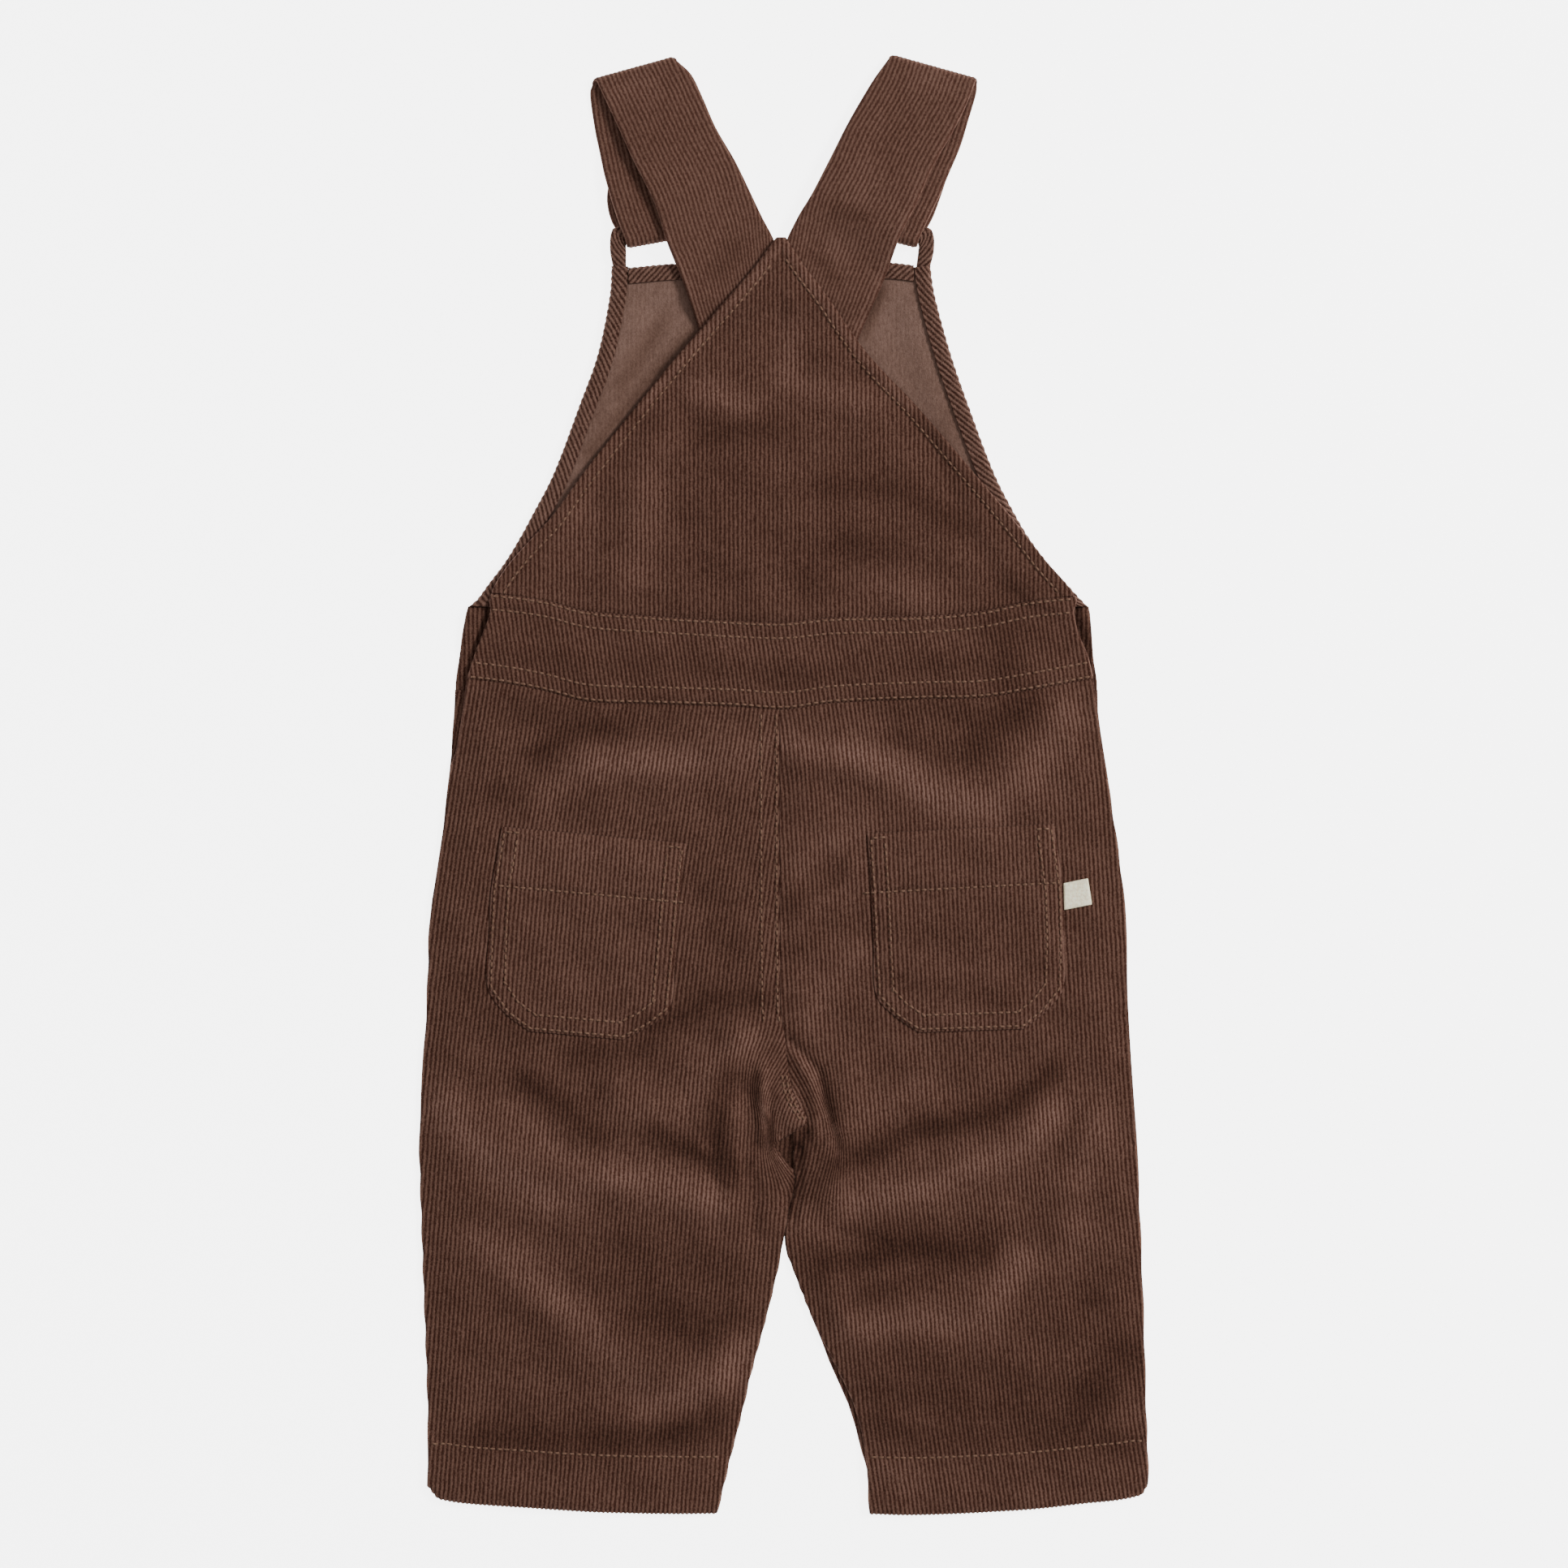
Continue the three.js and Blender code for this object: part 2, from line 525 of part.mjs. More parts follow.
// An edge that runs up the garment, and one that runs across it
const upright = (y0, y1, xAt) => (t) => [xAt(mix(y0, y1, t)), mix(y0, y1, t)];
const level = (x0, x1, yAt) => (t) => [mix(x0, x1, t), yAt(mix(x0, x1, t))];

// An edge on a smooth curve through a few points
function through(corners) {
  const points = corners.map(([x, y]) => new THREE.Vector3(x, y, 0));
  const curve = new THREE.CatmullRomCurve3(points, false, "catmullrom", 0.3);
  return (t) => curve.getPointAt(t).toArray().slice(0, 2);
}

const overalls = new THREE.Group();
overalls.name = "toddler_overalls";

function add(name, geometry, material) {
  const mesh = new THREE.Mesh(geometry, material);
  mesh.name = name;
  overalls.add(mesh);
}

// Parts of a panel's width or height where its net stands, with closer ones by its edges
const even = (count) => Array.from({ length: count + 1 }, (_, k) => k / count);
const legColumns = [0, 0.025, ...even(14).slice(1, -1), 0.975, 1];
const legRows = [0, 0.033, 0.0655, 0.0725, ...even(38).slice(4)];
const bibColumns = [0, 0.022, 0.045, 0.09, 0.16, 0.26, 0.38, 0.5, 0.62, 0.74, 0.84, 0.91, 0.955, 0.978, 1];
const frontColumns = [0, 0.035, 0.07, 0.12, 0.2, 0.35, 0.5, 0.65, 0.8, 0.88, 0.93, 0.965, 1];
const frontRows = [...even(14).slice(0, -1), 0.965, 1];
const pocketRows = [...even(12).slice(0, 9), 0.698, 0.722, ...even(12).slice(9)];

const cloth = () => CLOTH;
const floor = () => 0;
const hemmed = (x, y) => CLOTH + (HEM_CLOTH - CLOTH) * hemShare(x, y);

// Front legs, flat on the floor
const frontLegFoot = FRONT_WAIST_FOOT - GAP;
add("front_leg_left", panel({
  bottom: level(edgeAt(hemAt(-145.8), "left"), innerAt(hemAt(-28), "left"), hemAt),
  top: level(edgeAt(frontLegFoot, "left"), innerAt(frontLegFoot, "left"), () => frontLegFoot),
  left: upright(hemAt(-145.8), frontLegFoot, (y) => edgeAt(y, "left")),
  right: upright(hemAt(-28), frontLegFoot, (y) => innerAt(y, "left")),
}, floor, hemmed, even(4), legRows), CORD);
add("front_leg_right", panel({
  bottom: level(innerAt(hemAt(35.3), "right"), edgeAt(hemAt(149), "right"), hemAt),
  top: level(innerAt(frontLegFoot, "right"), edgeAt(frontLegFoot, "right"), () => frontLegFoot),
  left: upright(hemAt(35.3), frontLegFoot, (y) => innerAt(y, "right")),
  right: upright(hemAt(149), frontLegFoot, (y) => edgeAt(y, "right")),
}, floor, hemmed, even(4), legRows), CORD);

// Front waistband
const waistTop = BIB_FOOT - GAP;
add("front_waistband", panel({
  bottom: level(edgeAt(FRONT_WAIST_FOOT, "left"), edgeAt(FRONT_WAIST_FOOT, "right"), () => FRONT_WAIST_FOOT),
  top: level(edgeAt(waistTop, "left"), edgeAt(waistTop, "right"), () => waistTop),
  left: upright(FRONT_WAIST_FOOT, waistTop, (y) => edgeAt(y, "left")),
  right: upright(FRONT_WAIST_FOOT, waistTop, (y) => edgeAt(y, "right")),
}, floor, cloth, even(12), even(5)), CORD);

// Front bib, its sides and top inside the bindings
const bibLeft = (y) => edgeAt(y, "left") + BIB_EDGE_LIFT * 1.25;
const bibRight = (y) => edgeAt(y, "right") - BIB_EDGE_LIFT * 1.25;
const bibHead = bibTopAt(-69) - BIB_EDGE_LIFT;
add("front_bib", panel({
  bottom: level(bibLeft(BIB_FOOT), bibRight(BIB_FOOT), () => BIB_FOOT),
  top: level(bibLeft(bibHead), bibRight(bibHead), (x) => bibTopAt(x) - BIB_EDGE_LIFT),
  left: upright(BIB_FOOT, bibHead, bibLeft),
  right: upright(BIB_FOOT, bibTopAt(58) - BIB_EDGE_LIFT, bibRight),
}, bibRest, cloth, frontColumns, frontRows), WRONG_SIDE);

// Bindings round the front bib, cut square to their edge but level at the waistband
function sideStations(column, inward) {
  return Array.from({ length: 21 }, (_, k) => {
    const y = mix(BIB_FOOT + 1.2, 211.3, k / 20);
    const lean = (edgeAt(y + 1, column) - edgeAt(y - 1, column)) / 2;
    const length = Math.hypot(1, lean);
    const square = ease((y - BIB_FOOT - 1.2) / 14);
    const inX = inward * mix(length, 1 / length, square);
    return { x: edgeAt(y, column), y, inX, inY: ((-inward * lean) / length) * square };
  });
}
add("binding_left", binding(sideStations("left", 1)), CORD_BIAS);
add("binding_right", binding(sideStations("right", -1).reverse()), CORD_BIAS);
add("binding_top", binding(Array.from({ length: 17 }, (_, k) => {
  const x = mix(-63.1, 52.6, k / 16);
  return { x, y: bibTopAt(x), inX: 0, inY: -1 };
})), CORD_BIAS);

// Loops on the bib's upper corners, and the straps through them
const asGiven = (x, y, z) => z;
const strapRest = (x, y, z) => (y < 218 ? Math.max(z, strapMiddle(y)) : z);
const fifths = [0, 0.2, 0.4, 0.6, 0.8, 1];
for (const side of ["left", "right"]) {
  add(`loop_${side}`, band(LOOPS[side], LOOP_TAPE, asGiven, [0.12, 0.88]), CORD_BIAS);
  const { back, front, tail } = STRAPS[side];
  const out = smoothed(back);
  const down = smoothed(front);
  const end = smoothed(tail);
  const path = [
    ...out,
    ...turn(out.at(-1), down[0], 5, 1),
    ...down,
    ...turn(down.at(-1), end[0], 5, -1),
    ...end,
  ];
  add(`strap_${side}`, band(path, STRAP_CLOTH, strapRest, fifths), CORD_STRAP);
}

// Back bib, over the strap ends and the front bib
const upperSeam = (x) => waistAt(x, "upper") + HALF_GAP + 0.1;
const bibFootLeft = edgeAt(76.8, "backLeft");
const bibFootRight = edgeAt(76.4, "backRight");
add("back_bib", panel({
  bottom: level(bibFootLeft, bibFootRight, upperSeam),
  top: level(edgeAt(BACK_PEAK, "backLeft"), edgeAt(BACK_PEAK, "backRight"), () => BACK_PEAK),
  left: upright(upperSeam(bibFootLeft), BACK_PEAK, (y) => edgeAt(y, "backLeft")),
  right: upright(upperSeam(bibFootRight), BACK_PEAK, (y) => edgeAt(y, "backRight")),
}, backRest, cloth, bibColumns, even(26)), CORD);

// Back waistband between its two seams
const underUpper = (x) => waistAt(x, "upper") - HALF_GAP;
const overLower = (x) => waistAt(x, "lower") + HALF_GAP;
add("back_waistband", panel({
  bottom: level(-129.9, 126.7, overLower),
  top: level(bibFootLeft, bibFootRight, underUpper),
  left: upright(overLower(-129.9), underUpper(bibFootLeft), (y) => edgeAt(y, "backLeft")),
  right: upright(overLower(126.7), underUpper(bibFootRight), (y) => edgeAt(y, "backRight")),
}, backRest, () => WAIST_CLOTH, [0, 0.02, ...even(24).slice(1, -1), 0.98, 1], even(4)), CORD);

// Back legs, each with its side of the seat
const lowerSeam = (x) => waistAt(x, "lower") - HALF_GAP;
add("back_leg_left", panel({
  bottom: level(edgeAt(hemAt(-145.8), "left"), innerAt(hemAt(-28), "left"), hemAt),
  top: level(-130.1, innerAt(30, "left"), lowerSeam),
  left: upright(hemAt(-145.8), lowerSeam(-130.1), (y) => edgeAt(y, "backLeft")),
  right: upright(hemAt(-28), lowerSeam(-2.1), (y) => innerAt(y, "left")),
}, backRest, hemmed, legColumns, legRows), CORD);
add("back_leg_right", panel({
  bottom: level(innerAt(hemAt(35.3), "backRight"), edgeAt(hemAt(149), "right"), hemAt),
  top: level(innerAt(30, "backRight"), 126.9, lowerSeam),
  left: upright(hemAt(35.3), lowerSeam(-1.9), (y) => innerAt(y, "backRight")),
  right: upright(hemAt(149), lowerSeam(126.9), (y) => edgeAt(y, "backRight")),
}, backRest, hemmed, legColumns, legRows), CORD);

// Patch pockets and the tab, lying on the back legs
const onLeg = (x, y) => backRest(x, y) + CLOTH + GAP + 0.1;
for (const side of ["left", "right"]) {
  const { leftSide, rightSide } = POCKETS[side];
  const topHem = (x, y) => {
    const top = mix(leftSide.at(-1)[1], rightSide.at(-1)[1], (x - leftSide.at(-1)[0]) / 75);
    return CLOTH + (HEM_CLOTH - CLOTH) * ease((y - top + POCKET_HEM) / 2);
  };
  add(`back_pocket_${side}`, panel({
    bottom: through([leftSide[0], rightSide[0]]),
    top: through([leftSide.at(-1), rightSide.at(-1)]),
    left: through(leftSide),
    right: through(rightSide),
  }, onLeg, topHem, even(9), pocketRows), CORD);
}
add("label_tab", panel({
  bottom: through([TAB[0], TAB[1]]),
  top: through([TAB[3], TAB[2]]),
  left: through([TAB[0], TAB[3]]),
  right: through([TAB[1], TAB[2]]),
}, onLeg, () => TAB_CLOTH, even(3), even(3)), TAB_WEAVE);

export default overalls;
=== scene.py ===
import math

import bpy
import numpy as np
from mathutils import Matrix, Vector


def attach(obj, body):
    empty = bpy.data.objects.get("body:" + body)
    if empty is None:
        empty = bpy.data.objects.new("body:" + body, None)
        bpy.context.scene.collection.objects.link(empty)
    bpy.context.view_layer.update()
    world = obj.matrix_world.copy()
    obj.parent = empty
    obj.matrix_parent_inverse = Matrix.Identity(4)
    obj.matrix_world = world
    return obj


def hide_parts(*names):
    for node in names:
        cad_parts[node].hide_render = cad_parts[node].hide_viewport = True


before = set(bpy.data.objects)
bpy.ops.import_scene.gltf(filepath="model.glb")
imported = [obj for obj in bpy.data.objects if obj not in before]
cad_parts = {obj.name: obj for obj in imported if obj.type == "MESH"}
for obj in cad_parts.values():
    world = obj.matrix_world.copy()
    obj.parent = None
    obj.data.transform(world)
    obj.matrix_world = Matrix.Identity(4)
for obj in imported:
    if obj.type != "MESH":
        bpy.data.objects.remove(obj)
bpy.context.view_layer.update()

MM = 0.001

# Front legs
# Two corduroy panels from the waist to the hems, the lowest layer of the laid garment. Their
# wales run down the leg, the hems are turned up, and the side seams and inseams join them to
# the back legs. Sizes are in millimetres here and become metres as a mesh is made.

# y, then x of the front layer's left and right edges and of the back layer's
OUTLINE = np.array([
    (-300, -145.6, 149.2, -145.6, 149.2),
    (-287, -146.0, 149.2, -146.0, 149.2),
    (-262, -145.7, 148.4, -145.7, 148.4),
    (-212, -147.3, 147.0, -147.3, 147.0),
    (-161, -149.0, 145.0, -149.0, 145.0),
    (-141, -149.2, 144.0, -149.2, 144.0),
    (-91, -146.3, 141.0, -146.3, 141.0),
    (-52, -144.7, 139.6, -144.7, 139.6),
    (-31, -141.3, 137.3, -141.3, 137.3),
    (5, -136.9, 132.2, -136.6, 131.9),
    (18, -136.0, 130.3, -133.4, 129.8),
    (32, -134.9, 128.5, -131.3, 128.0),
    (42, -134.6, 128.3, -130.0, 126.8),
    (52, -133.1, 126.8, -127.1, 124.6),
    (62, -131.8, 126.1, -123.3, 120.6),
    (70, -130.3, 125.4, -120.3, 118.6),
    (72.5, -129.7, 125.0, -120.3, 119.1),
    (76, -126.0, 121.8, -120.4, 119.6),
    (82, -121.6, 116.4, -118.0, 115.4),
    (91, -114.8, 108.3, -111.8, 107.4),
    (101, -108.7, 100.8, -102.8, 99.6),
    (110, -103.8, 95.4, -94.6, 92.4),
    (127, -95.0, 86.7, -82.4, 78.0),
    (156, -84.0, 75.7, -59.6, 53.2),
    (176, -76.8, 68.8, -43.0, 34.2),
    (200, -71.8, 62.2, -21.8, 17.2),
    (212, -71.0, 60.4, -11.6, 8.2),
    (224, -71.0, 60.0, -2.6, 0.2),
])
FRONT_LEFT, FRONT_RIGHT, BACK_LEFT, BACK_RIGHT = 1, 2, 3, 4

# y, then x of the front layer's left and right legs' inner edges and of the back layer's
INNER = np.array([
    (-300, -28.0, 35.3, -28.0, 35.3),
    (-284, -24.2, 34.7, -24.2, 34.7),
    (-272, -21.3, 31.8, -21.3, 33.2),
    (-256, -17.2, 27.2, -17.2, 29.6),
    (-241, -13.7, 20.7, -13.7, 22.8),
    (-221, -8.3, 12.7, -8.3, 12.9),
    (-201, -3.4, 4.9, -3.4, 4.9),
    (-188, -0.9, 0.6, -0.9, 0.6),
    (-180, 0.85, 1.35, 0.5, 1.6),
    (-163, 4.05, 4.35, 4.0, 4.9),
    (-158, 4.4, 4.7, 3.0, 4.5),
    (-153.5, 4.65, 4.95, -0.4, 4.2),
    (-149.5, 4.75, 5.05, -4.0, 4.1),
    (-148, 4.75, 5.05, -4.4, 4.1),
    (-145, 4.75, 5.05, -0.2, 4.1),
    (-142.6, 4.7, 5.0, 3.9, 4.4),
    (-141, 4.65, 4.95, 6.4, 6.8),
    (-139, 4.5, 4.8, 9.4, 9.8),
    (-138, 4.4, 4.7, 9.7, 10.0),
    (-134, 4.0, 4.3, 7.0, 7.3),
    (-126, 2.85, 3.15, 3.2, 3.5),
    (-102, -0.35, -0.05, -0.15, 0.15),
    (-90, -1.65, -1.35, -1.65, -1.35),
    (46, -2.15, -1.85, -2.15, -1.85),
])

# x and y along the hems' lower edge
HEM = np.array([
    (-146, -287.6), (-141, -293.0), (-103, -296.5), (-70, -298.4), (-28, -298.9),
    (35, -299.1), (60, -299.2), (97, -297.3), (123, -294.6), (146, -291.4), (149, -287.0),
])

PITCH = 1.81
RELIEF = 0.32
CLOTH = 1.2
HEM_CLOTH = 1.8
BULGE = 0.28
HEM_DEPTH = 23.0
FRONT_WAIST_FOOT = 38.6


def smooth(at, table, column=1):
    """Cubic pieces through a table's rows: each row's slope is that of the line between its two neighbours."""
    knots, values = table[:, 0], table[:, column]
    at = np.clip(at, knots[0], knots[-1])
    k = np.clip(np.searchsorted(knots, at, side="right") - 1, 0, len(knots) - 2)
    before = np.maximum(np.arange(len(knots)) - 1, 0)
    after = np.minimum(np.arange(len(knots)) + 1, len(knots) - 1)
    slope = (values[after] - values[before]) / (knots[after] - knots[before])
    span = knots[k + 1] - knots[k]
    t = (at - knots[k]) / span
    ends = values[k] * (2 * t**3 - 3 * t**2 + 1) + values[k + 1] * (3 * t**2 - 2 * t**3)
    return ends + span * (slope[k] * (t**3 - 2 * t**2 + t) + slope[k + 1] * (t**3 - t**2))


def ease(value):
    """Soft step: 3t^2 - 2t^3 of the value held between 0 and 1."""
    t = np.clip(value, 0.0, 1.0)
    return t * t * (3 - 2 * t)


def hem_share(x, y):
    """1 in the turned-up hem and 0 above it, over 3 mm across the hem's upper edge."""
    return ease((smooth(x, HEM) + HEM_DEPTH + 1.5 - y) / 3)


def one_layer(x, y):
    """One cloth thickness everywhere."""
    return 0 * x + CLOTH


def hemmed(x, y):
    """Cloth thickness: one layer, or the hem's two pressed ones."""
    return CLOTH + (HEM_CLOTH - CLOTH) * hem_share(x, y)


def wale(turns):
    """Height of a cord from 0 in the groove to 1 on the crest: a cosine with its crest widened."""
    return (0.5 + 0.5 * np.cos(2 * np.pi * turns)) ** 0.8


def leaning(table):
    """Sideways shift of the wales at a height: the integral of their lean's tangent from the first row up."""
    slope = np.tan(np.radians(table[:, 1]))
    shift = np.concatenate([[0.0], np.cumsum((slope[1:] + slope[:-1]) / 2 * np.diff(table[:, 0]))])
    return lambda y: np.interp(y, table[:, 0], shift)


def strokes(*table):
    """Soft strokes of a width and an amount along a line of points x, y. Each falls off as a bell with
    the distance from its line, and the strongest light one and dark one at a place are added."""
    def at(x, y):
        light, dark = np.zeros_like(x), np.zeros_like(x)
        for width, amount, *line in table:
            points = np.array(line, float).reshape(-1, 2)
            for (x1, y1), (dx, dy) in zip(points[:-1], np.diff(points, axis=0)):
                part = np.clip(((x - x1) * dx + (y - y1) * dy) / (dx * dx + dy * dy), 0, 1)
                far = np.hypot(x - x1 - dx * part, y - y1 - dy * part)
                share = amount * np.exp(-((far / width) ** 2))
                light, dark = np.maximum(light, share), np.minimum(dark, share)
        return light + dark
    return at


def solid_mesh(name, points, triangles, loop_cord, loop_bake, painted_shading):
    """One closed mesh in metres. Its maps hold a value for each corner: Cord counts wales across and
    metres along, and OFBake is the piece laid out flat. The point attribute of painted light and
    shade holds one value a point."""
    mesh = bpy.data.meshes.new(name)
    mesh.vertices.add(len(points))
    mesh.vertices.foreach_set("co", (points * MM).astype(np.float32).ravel())
    mesh.loops.add(triangles.size)
    mesh.loops.foreach_set("vertex_index", triangles.astype(np.int32).ravel())
    mesh.polygons.add(len(triangles))
    mesh.polygons.foreach_set("loop_start", np.arange(0, triangles.size, 3, dtype=np.int32))
    mesh.update(calc_edges=True)
    mesh.polygons.foreach_set("use_smooth", np.ones(len(triangles), bool))
    for layer, values in (("Cord", loop_cord), ("OFBake", loop_bake)):
        mesh.uv_layers.new(name=layer).data.foreach_set("uv", values.astype(np.float32).ravel())
    # The point attribute holds painted light and shade.
    mesh.attributes.new("painted_shading", "FLOAT", "POINT").data.foreach_set("value", painted_shading.astype(np.float32))
    made = bpy.data.objects.new(name, mesh)
    bpy.context.scene.collection.objects.link(made)
    return made


def grid_cells(index):
    """The cells of a grid of point numbers, each as two triangles."""
    a, b, c, d = index[:-1, :-1], index[:-1, 1:], index[1:, 1:], index[1:, :-1]
    return np.concatenate([np.stack(t, -1).reshape(-1, 3) for t in ((a, b, c), (a, c, d))])


def cord_panel(name, span, rows, foot, head, left, right, under, thick, painted_shading, step=PITCH / 4,
               relief=RELIEF, warp=lambda s, y: 0 * s, saw=0.0):
    """Closed panel of corded cloth. Columns stand a part of a wale apart and follow the wales, which
    the warp moves sideways, rows lie at the given parts of the way from foot to head, and both are
    cut off at the left and right edges: a row's last column is moved onto the edge and the ones
    past it share its point. The upper face is the underside's height plus the thickness, less the
    relief times one minus the wale. A rim that bulges by BULGE, and by the saw on a wale's crest,
    joins it to the underside."""
    s = step * np.arange(math.floor(span[0] / step), math.ceil(span[1] / step) + 1)
    S, V = np.meshgrid(s, rows)
    X = S.copy()
    for _ in range(4):  # the warp moves x, which moves y in turn, so both settle together
        Y = foot(X) + (head(X) - foot(X)) * V
        X = S + warp(S, Y)
    inside = (X > left(Y)) & (X < right(Y))
    n, line = len(s), np.arange(len(rows))
    first = np.argmax(inside, axis=1)
    last = n - 1 - np.argmax(inside[:, ::-1], axis=1)
    for limit, inner, outer in ((left, first, first - 1), (right, last, last + 1)):
        at, past = (line, inner), (line, outer)
        over, short = limit(Y[past]) - X[past], limit(Y[at]) - X[at]
        part = np.clip(over / (over - short), 0, 1)
        for grid in (X, Y, S):
            grid[past] += (grid[at] - grid[past]) * part
    column = np.clip(np.arange(n)[None, :], first[:, None] - 1, last[:, None] + 1)
    faces = grid_cells(line[:, None] * n + column)
    whole = (faces != np.roll(faces, 1, axis=1)).all(1)
    used, faces = np.unique(faces[whole], return_inverse=True)
    faces = faces.reshape(-1, 3)
    x, y, turns = X.ravel()[used], Y.ravel()[used], S.ravel()[used] / PITCH
    count = len(used)

    # Rim points are on edges with a triangle on one side only, and bulge square to those edges
    edges = np.concatenate([faces[:, [0, 1]], faces[:, [1, 2]], faces[:, [2, 0]]])
    border = edges[~np.isin(edges @ [count, 1], edges @ [1, count])]
    rim = np.unique(border)
    run = np.stack([x, y], -1)[border[:, 1]] - np.stack([x, y], -1)[border[:, 0]]
    square = np.stack([run[:, 1], -run[:, 0]], -1) / np.maximum(np.hypot(*run.T), 1e-9)[:, None]
    out = np.zeros((count, 2))
    np.add.at(out, border.T.ravel(), np.concatenate([square, square]))
    out = out[rim] / np.maximum(np.hypot(*out[rim].T), 1e-9)[:, None]

    low, depth, groove = under(x, y), thick(x, y), relief * (1 - wale(turns))
    on_rim = np.isin(np.arange(count), rim)
    upper = np.where(on_rim, low + 0.74 * depth - 0.4 * groove, low + depth - groove)
    lower = np.where(on_rim, low + 0.16 * depth, low)
    bulge = BULGE + saw * wale(turns[rim])
    mid = [x[rim] + out[:, 0] * bulge, y[rim] + out[:, 1] * bulge, low[rim] + 0.45 * depth[rim]]
    points = np.concatenate([np.stack(p, -1) for p in ((x, y, upper), (x, y, lower), mid)])
    p, q = border.T
    mp, mq = 2 * count + np.searchsorted(rim, p), 2 * count + np.searchsorted(rim, q)
    sides = ((q, p, mp), (q, mp, mq), (mq, mp, p + count), (mq, p + count, q + count))
    sides = np.concatenate([np.stack(t, -1) for t in sides])
    skin = np.concatenate([faces, faces[:, ::-1] + count])
    cord = np.stack([turns, y * MM], -1)
    cord = np.concatenate([cord, cord, cord[rim]])
    flat = np.stack([(x - x.min()) / np.ptp(x) * 0.47 + 0.015, (y - y.min()) / np.ptp(y) * 0.97 + 0.015], -1)
    laid = np.concatenate([flat, flat + [0.5, 0]])[skin]
    edge_laid = np.concatenate([flat, flat, flat[rim]])[sides]
    triangles = np.concatenate([skin, sides])
    shade = painted_shading(x, y)
    shade = np.concatenate([shade, shade, shade[rim]])
    return solid_mesh(name, points, triangles, cord[triangles], np.concatenate([laid, edge_laid]), shade)


class Wire:
    """A value in a material's node tree. Arithmetic with it adds the maths nodes that work it out."""

    def __init__(self, tree, socket=None):
        self.tree, self.socket = tree, socket

    def node(self, kind, settings, sockets, output=0):
        """Adds any other node: its settings first, then its sockets. Returns one of its outputs."""
        made = self.tree.nodes.new(kind)
        for key, value in settings.items():
            setattr(made, key, value)
        for key, value in sockets.items():
            if isinstance(value, Wire):
                self.tree.links.new(value.socket, made.inputs[key])
            else:
                made.inputs[key].default_value = value
        return Wire(self.tree, made.outputs[output])

    def maths(self, operation, first, second=0.0):
        """A Math node's result on one or two values."""
        return self.node("ShaderNodeMath", {"operation": operation}, {0: first, 1: second})

    def __add__(self, other):
        return self.maths("ADD", self, other)

    def __sub__(self, other):
        return self.maths("SUBTRACT", self, other)

    def __rsub__(self, other):
        return self.maths("SUBTRACT", other, self)

    def __mul__(self, other):
        return self.maths("MULTIPLY", self, other)

    def __pow__(self, other):
        return self.maths("POWER", self, other)

    __radd__ = __add__
    __rmul__ = __mul__

    def held(self):
        """The value kept between 0 and 1."""
        return self.node("ShaderNodeClamp", {}, {0: self})


def linear(*display):
    """Scene colour of a display colour in steps of 255, by the sRGB curve."""
    share = np.array(display) / 255
    return (*np.where(share <= 0.04045, share / 12.92, ((share + 0.055) / 1.055) ** 2.4), 1.0)


def cloth_material(name, groove, ridge, cords=1.0, gain=0.6, sheen=0.2, speckle=1.0):
    """Cotton pile. The colour is mixed from groove to ridge by the cosine of the Cord map's turns,
    times cords, plus noise of a tuft's size, times speckle, and noise drawn out along the wales.
    It is then multiplied by a level of one plus the point attribute of painted light and shade
    times gain, and two noises of random tone. A lighter level is also greyer, which paints the
    pile's sheen: green and blue are lit by the level's powers of 1.2 and 1.35."""
    material = bpy.data.materials.new(name)
    material.use_nodes = True
    tree = material.node_tree
    start = Wire(tree)
    place = start.node("ShaderNodeTexCoord", {}, {}, output=3)
    painted_shading = start.node("ShaderNodeAttribute", {"attribute_name": "painted_shading"}, {}, output=2)
    cord = start.node("ShaderNodeUVMap", {"uv_map": "Cord"}, {})
    turns = start.node("ShaderNodeSeparateXYZ", {}, {0: cord})

    def noise(scale, detail, roughness=0.5, length=1.0):
        """Noise about 0 with features of 1 / scale metres, drawn out along y to the given length."""
        drawn = start.node("ShaderNodeVectorMath", {"operation": "MULTIPLY"}, {0: place, 1: (1, 1 / length, 1)})
        return start.node("ShaderNodeTexNoise", {}, {
            "Vector": drawn, "Scale": scale, "Detail": detail, "Roughness": roughness}) - 0.5

    wander = noise(170.0, 2.0, 0.6)
    crest = start.maths("COSINE", (turns + wander * 0.5) * (2 * math.pi)) * 0.5 + 0.5
    tuft, streak = noise(2100.0, 2.0, 0.7, 1.5), noise(900.0, 2.0, 0.6, 3.0)
    share = (crest * cords + (1 - cords) * 0.5 + tuft * (2.4 * speckle) + streak * 0.9).held()
    colour = start.node("ShaderNodeMix", {"data_type": "RGBA"}, {0: share, 6: groove, 7: ridge}, output=2)
    # Painted light and shade: the point attribute times gain, with two noises of random tone. The powers below
    # paint the greyer sheen of lighter pile.
    lit = painted_shading * gain + noise(60.0, 4.0, 0.6) * 0.2 + noise(900.0, 2.0) * (0.7 * speckle) + 1.0
    tint = start.node("ShaderNodeCombineXYZ", {}, {0: lit, 1: lit ** 1.2, 2: lit ** 1.35})
    shown = start.node("ShaderNodeVectorMath", {"operation": "MULTIPLY"}, {0: colour, 1: tint})
    bump = start.node("ShaderNodeBump", {}, {"Strength": 0.5, "Distance": 0.0004, "Height": tuft + streak})
    shader = tree.nodes["Principled BSDF"]
    tree.links.new(shown.socket, shader.inputs["Base Color"])
    tree.links.new(bump.socket, shader.inputs["Normal"])
    shader.inputs["Roughness"].default_value = 0.95
    shader.inputs["Specular IOR Level"].default_value = 0.15
    shader.inputs["Sheen Weight"].default_value = sheen
    shader.inputs["Sheen Roughness"].default_value = 0.6
    shader.inputs["Sheen Tint"].default_value = ridge
    return material


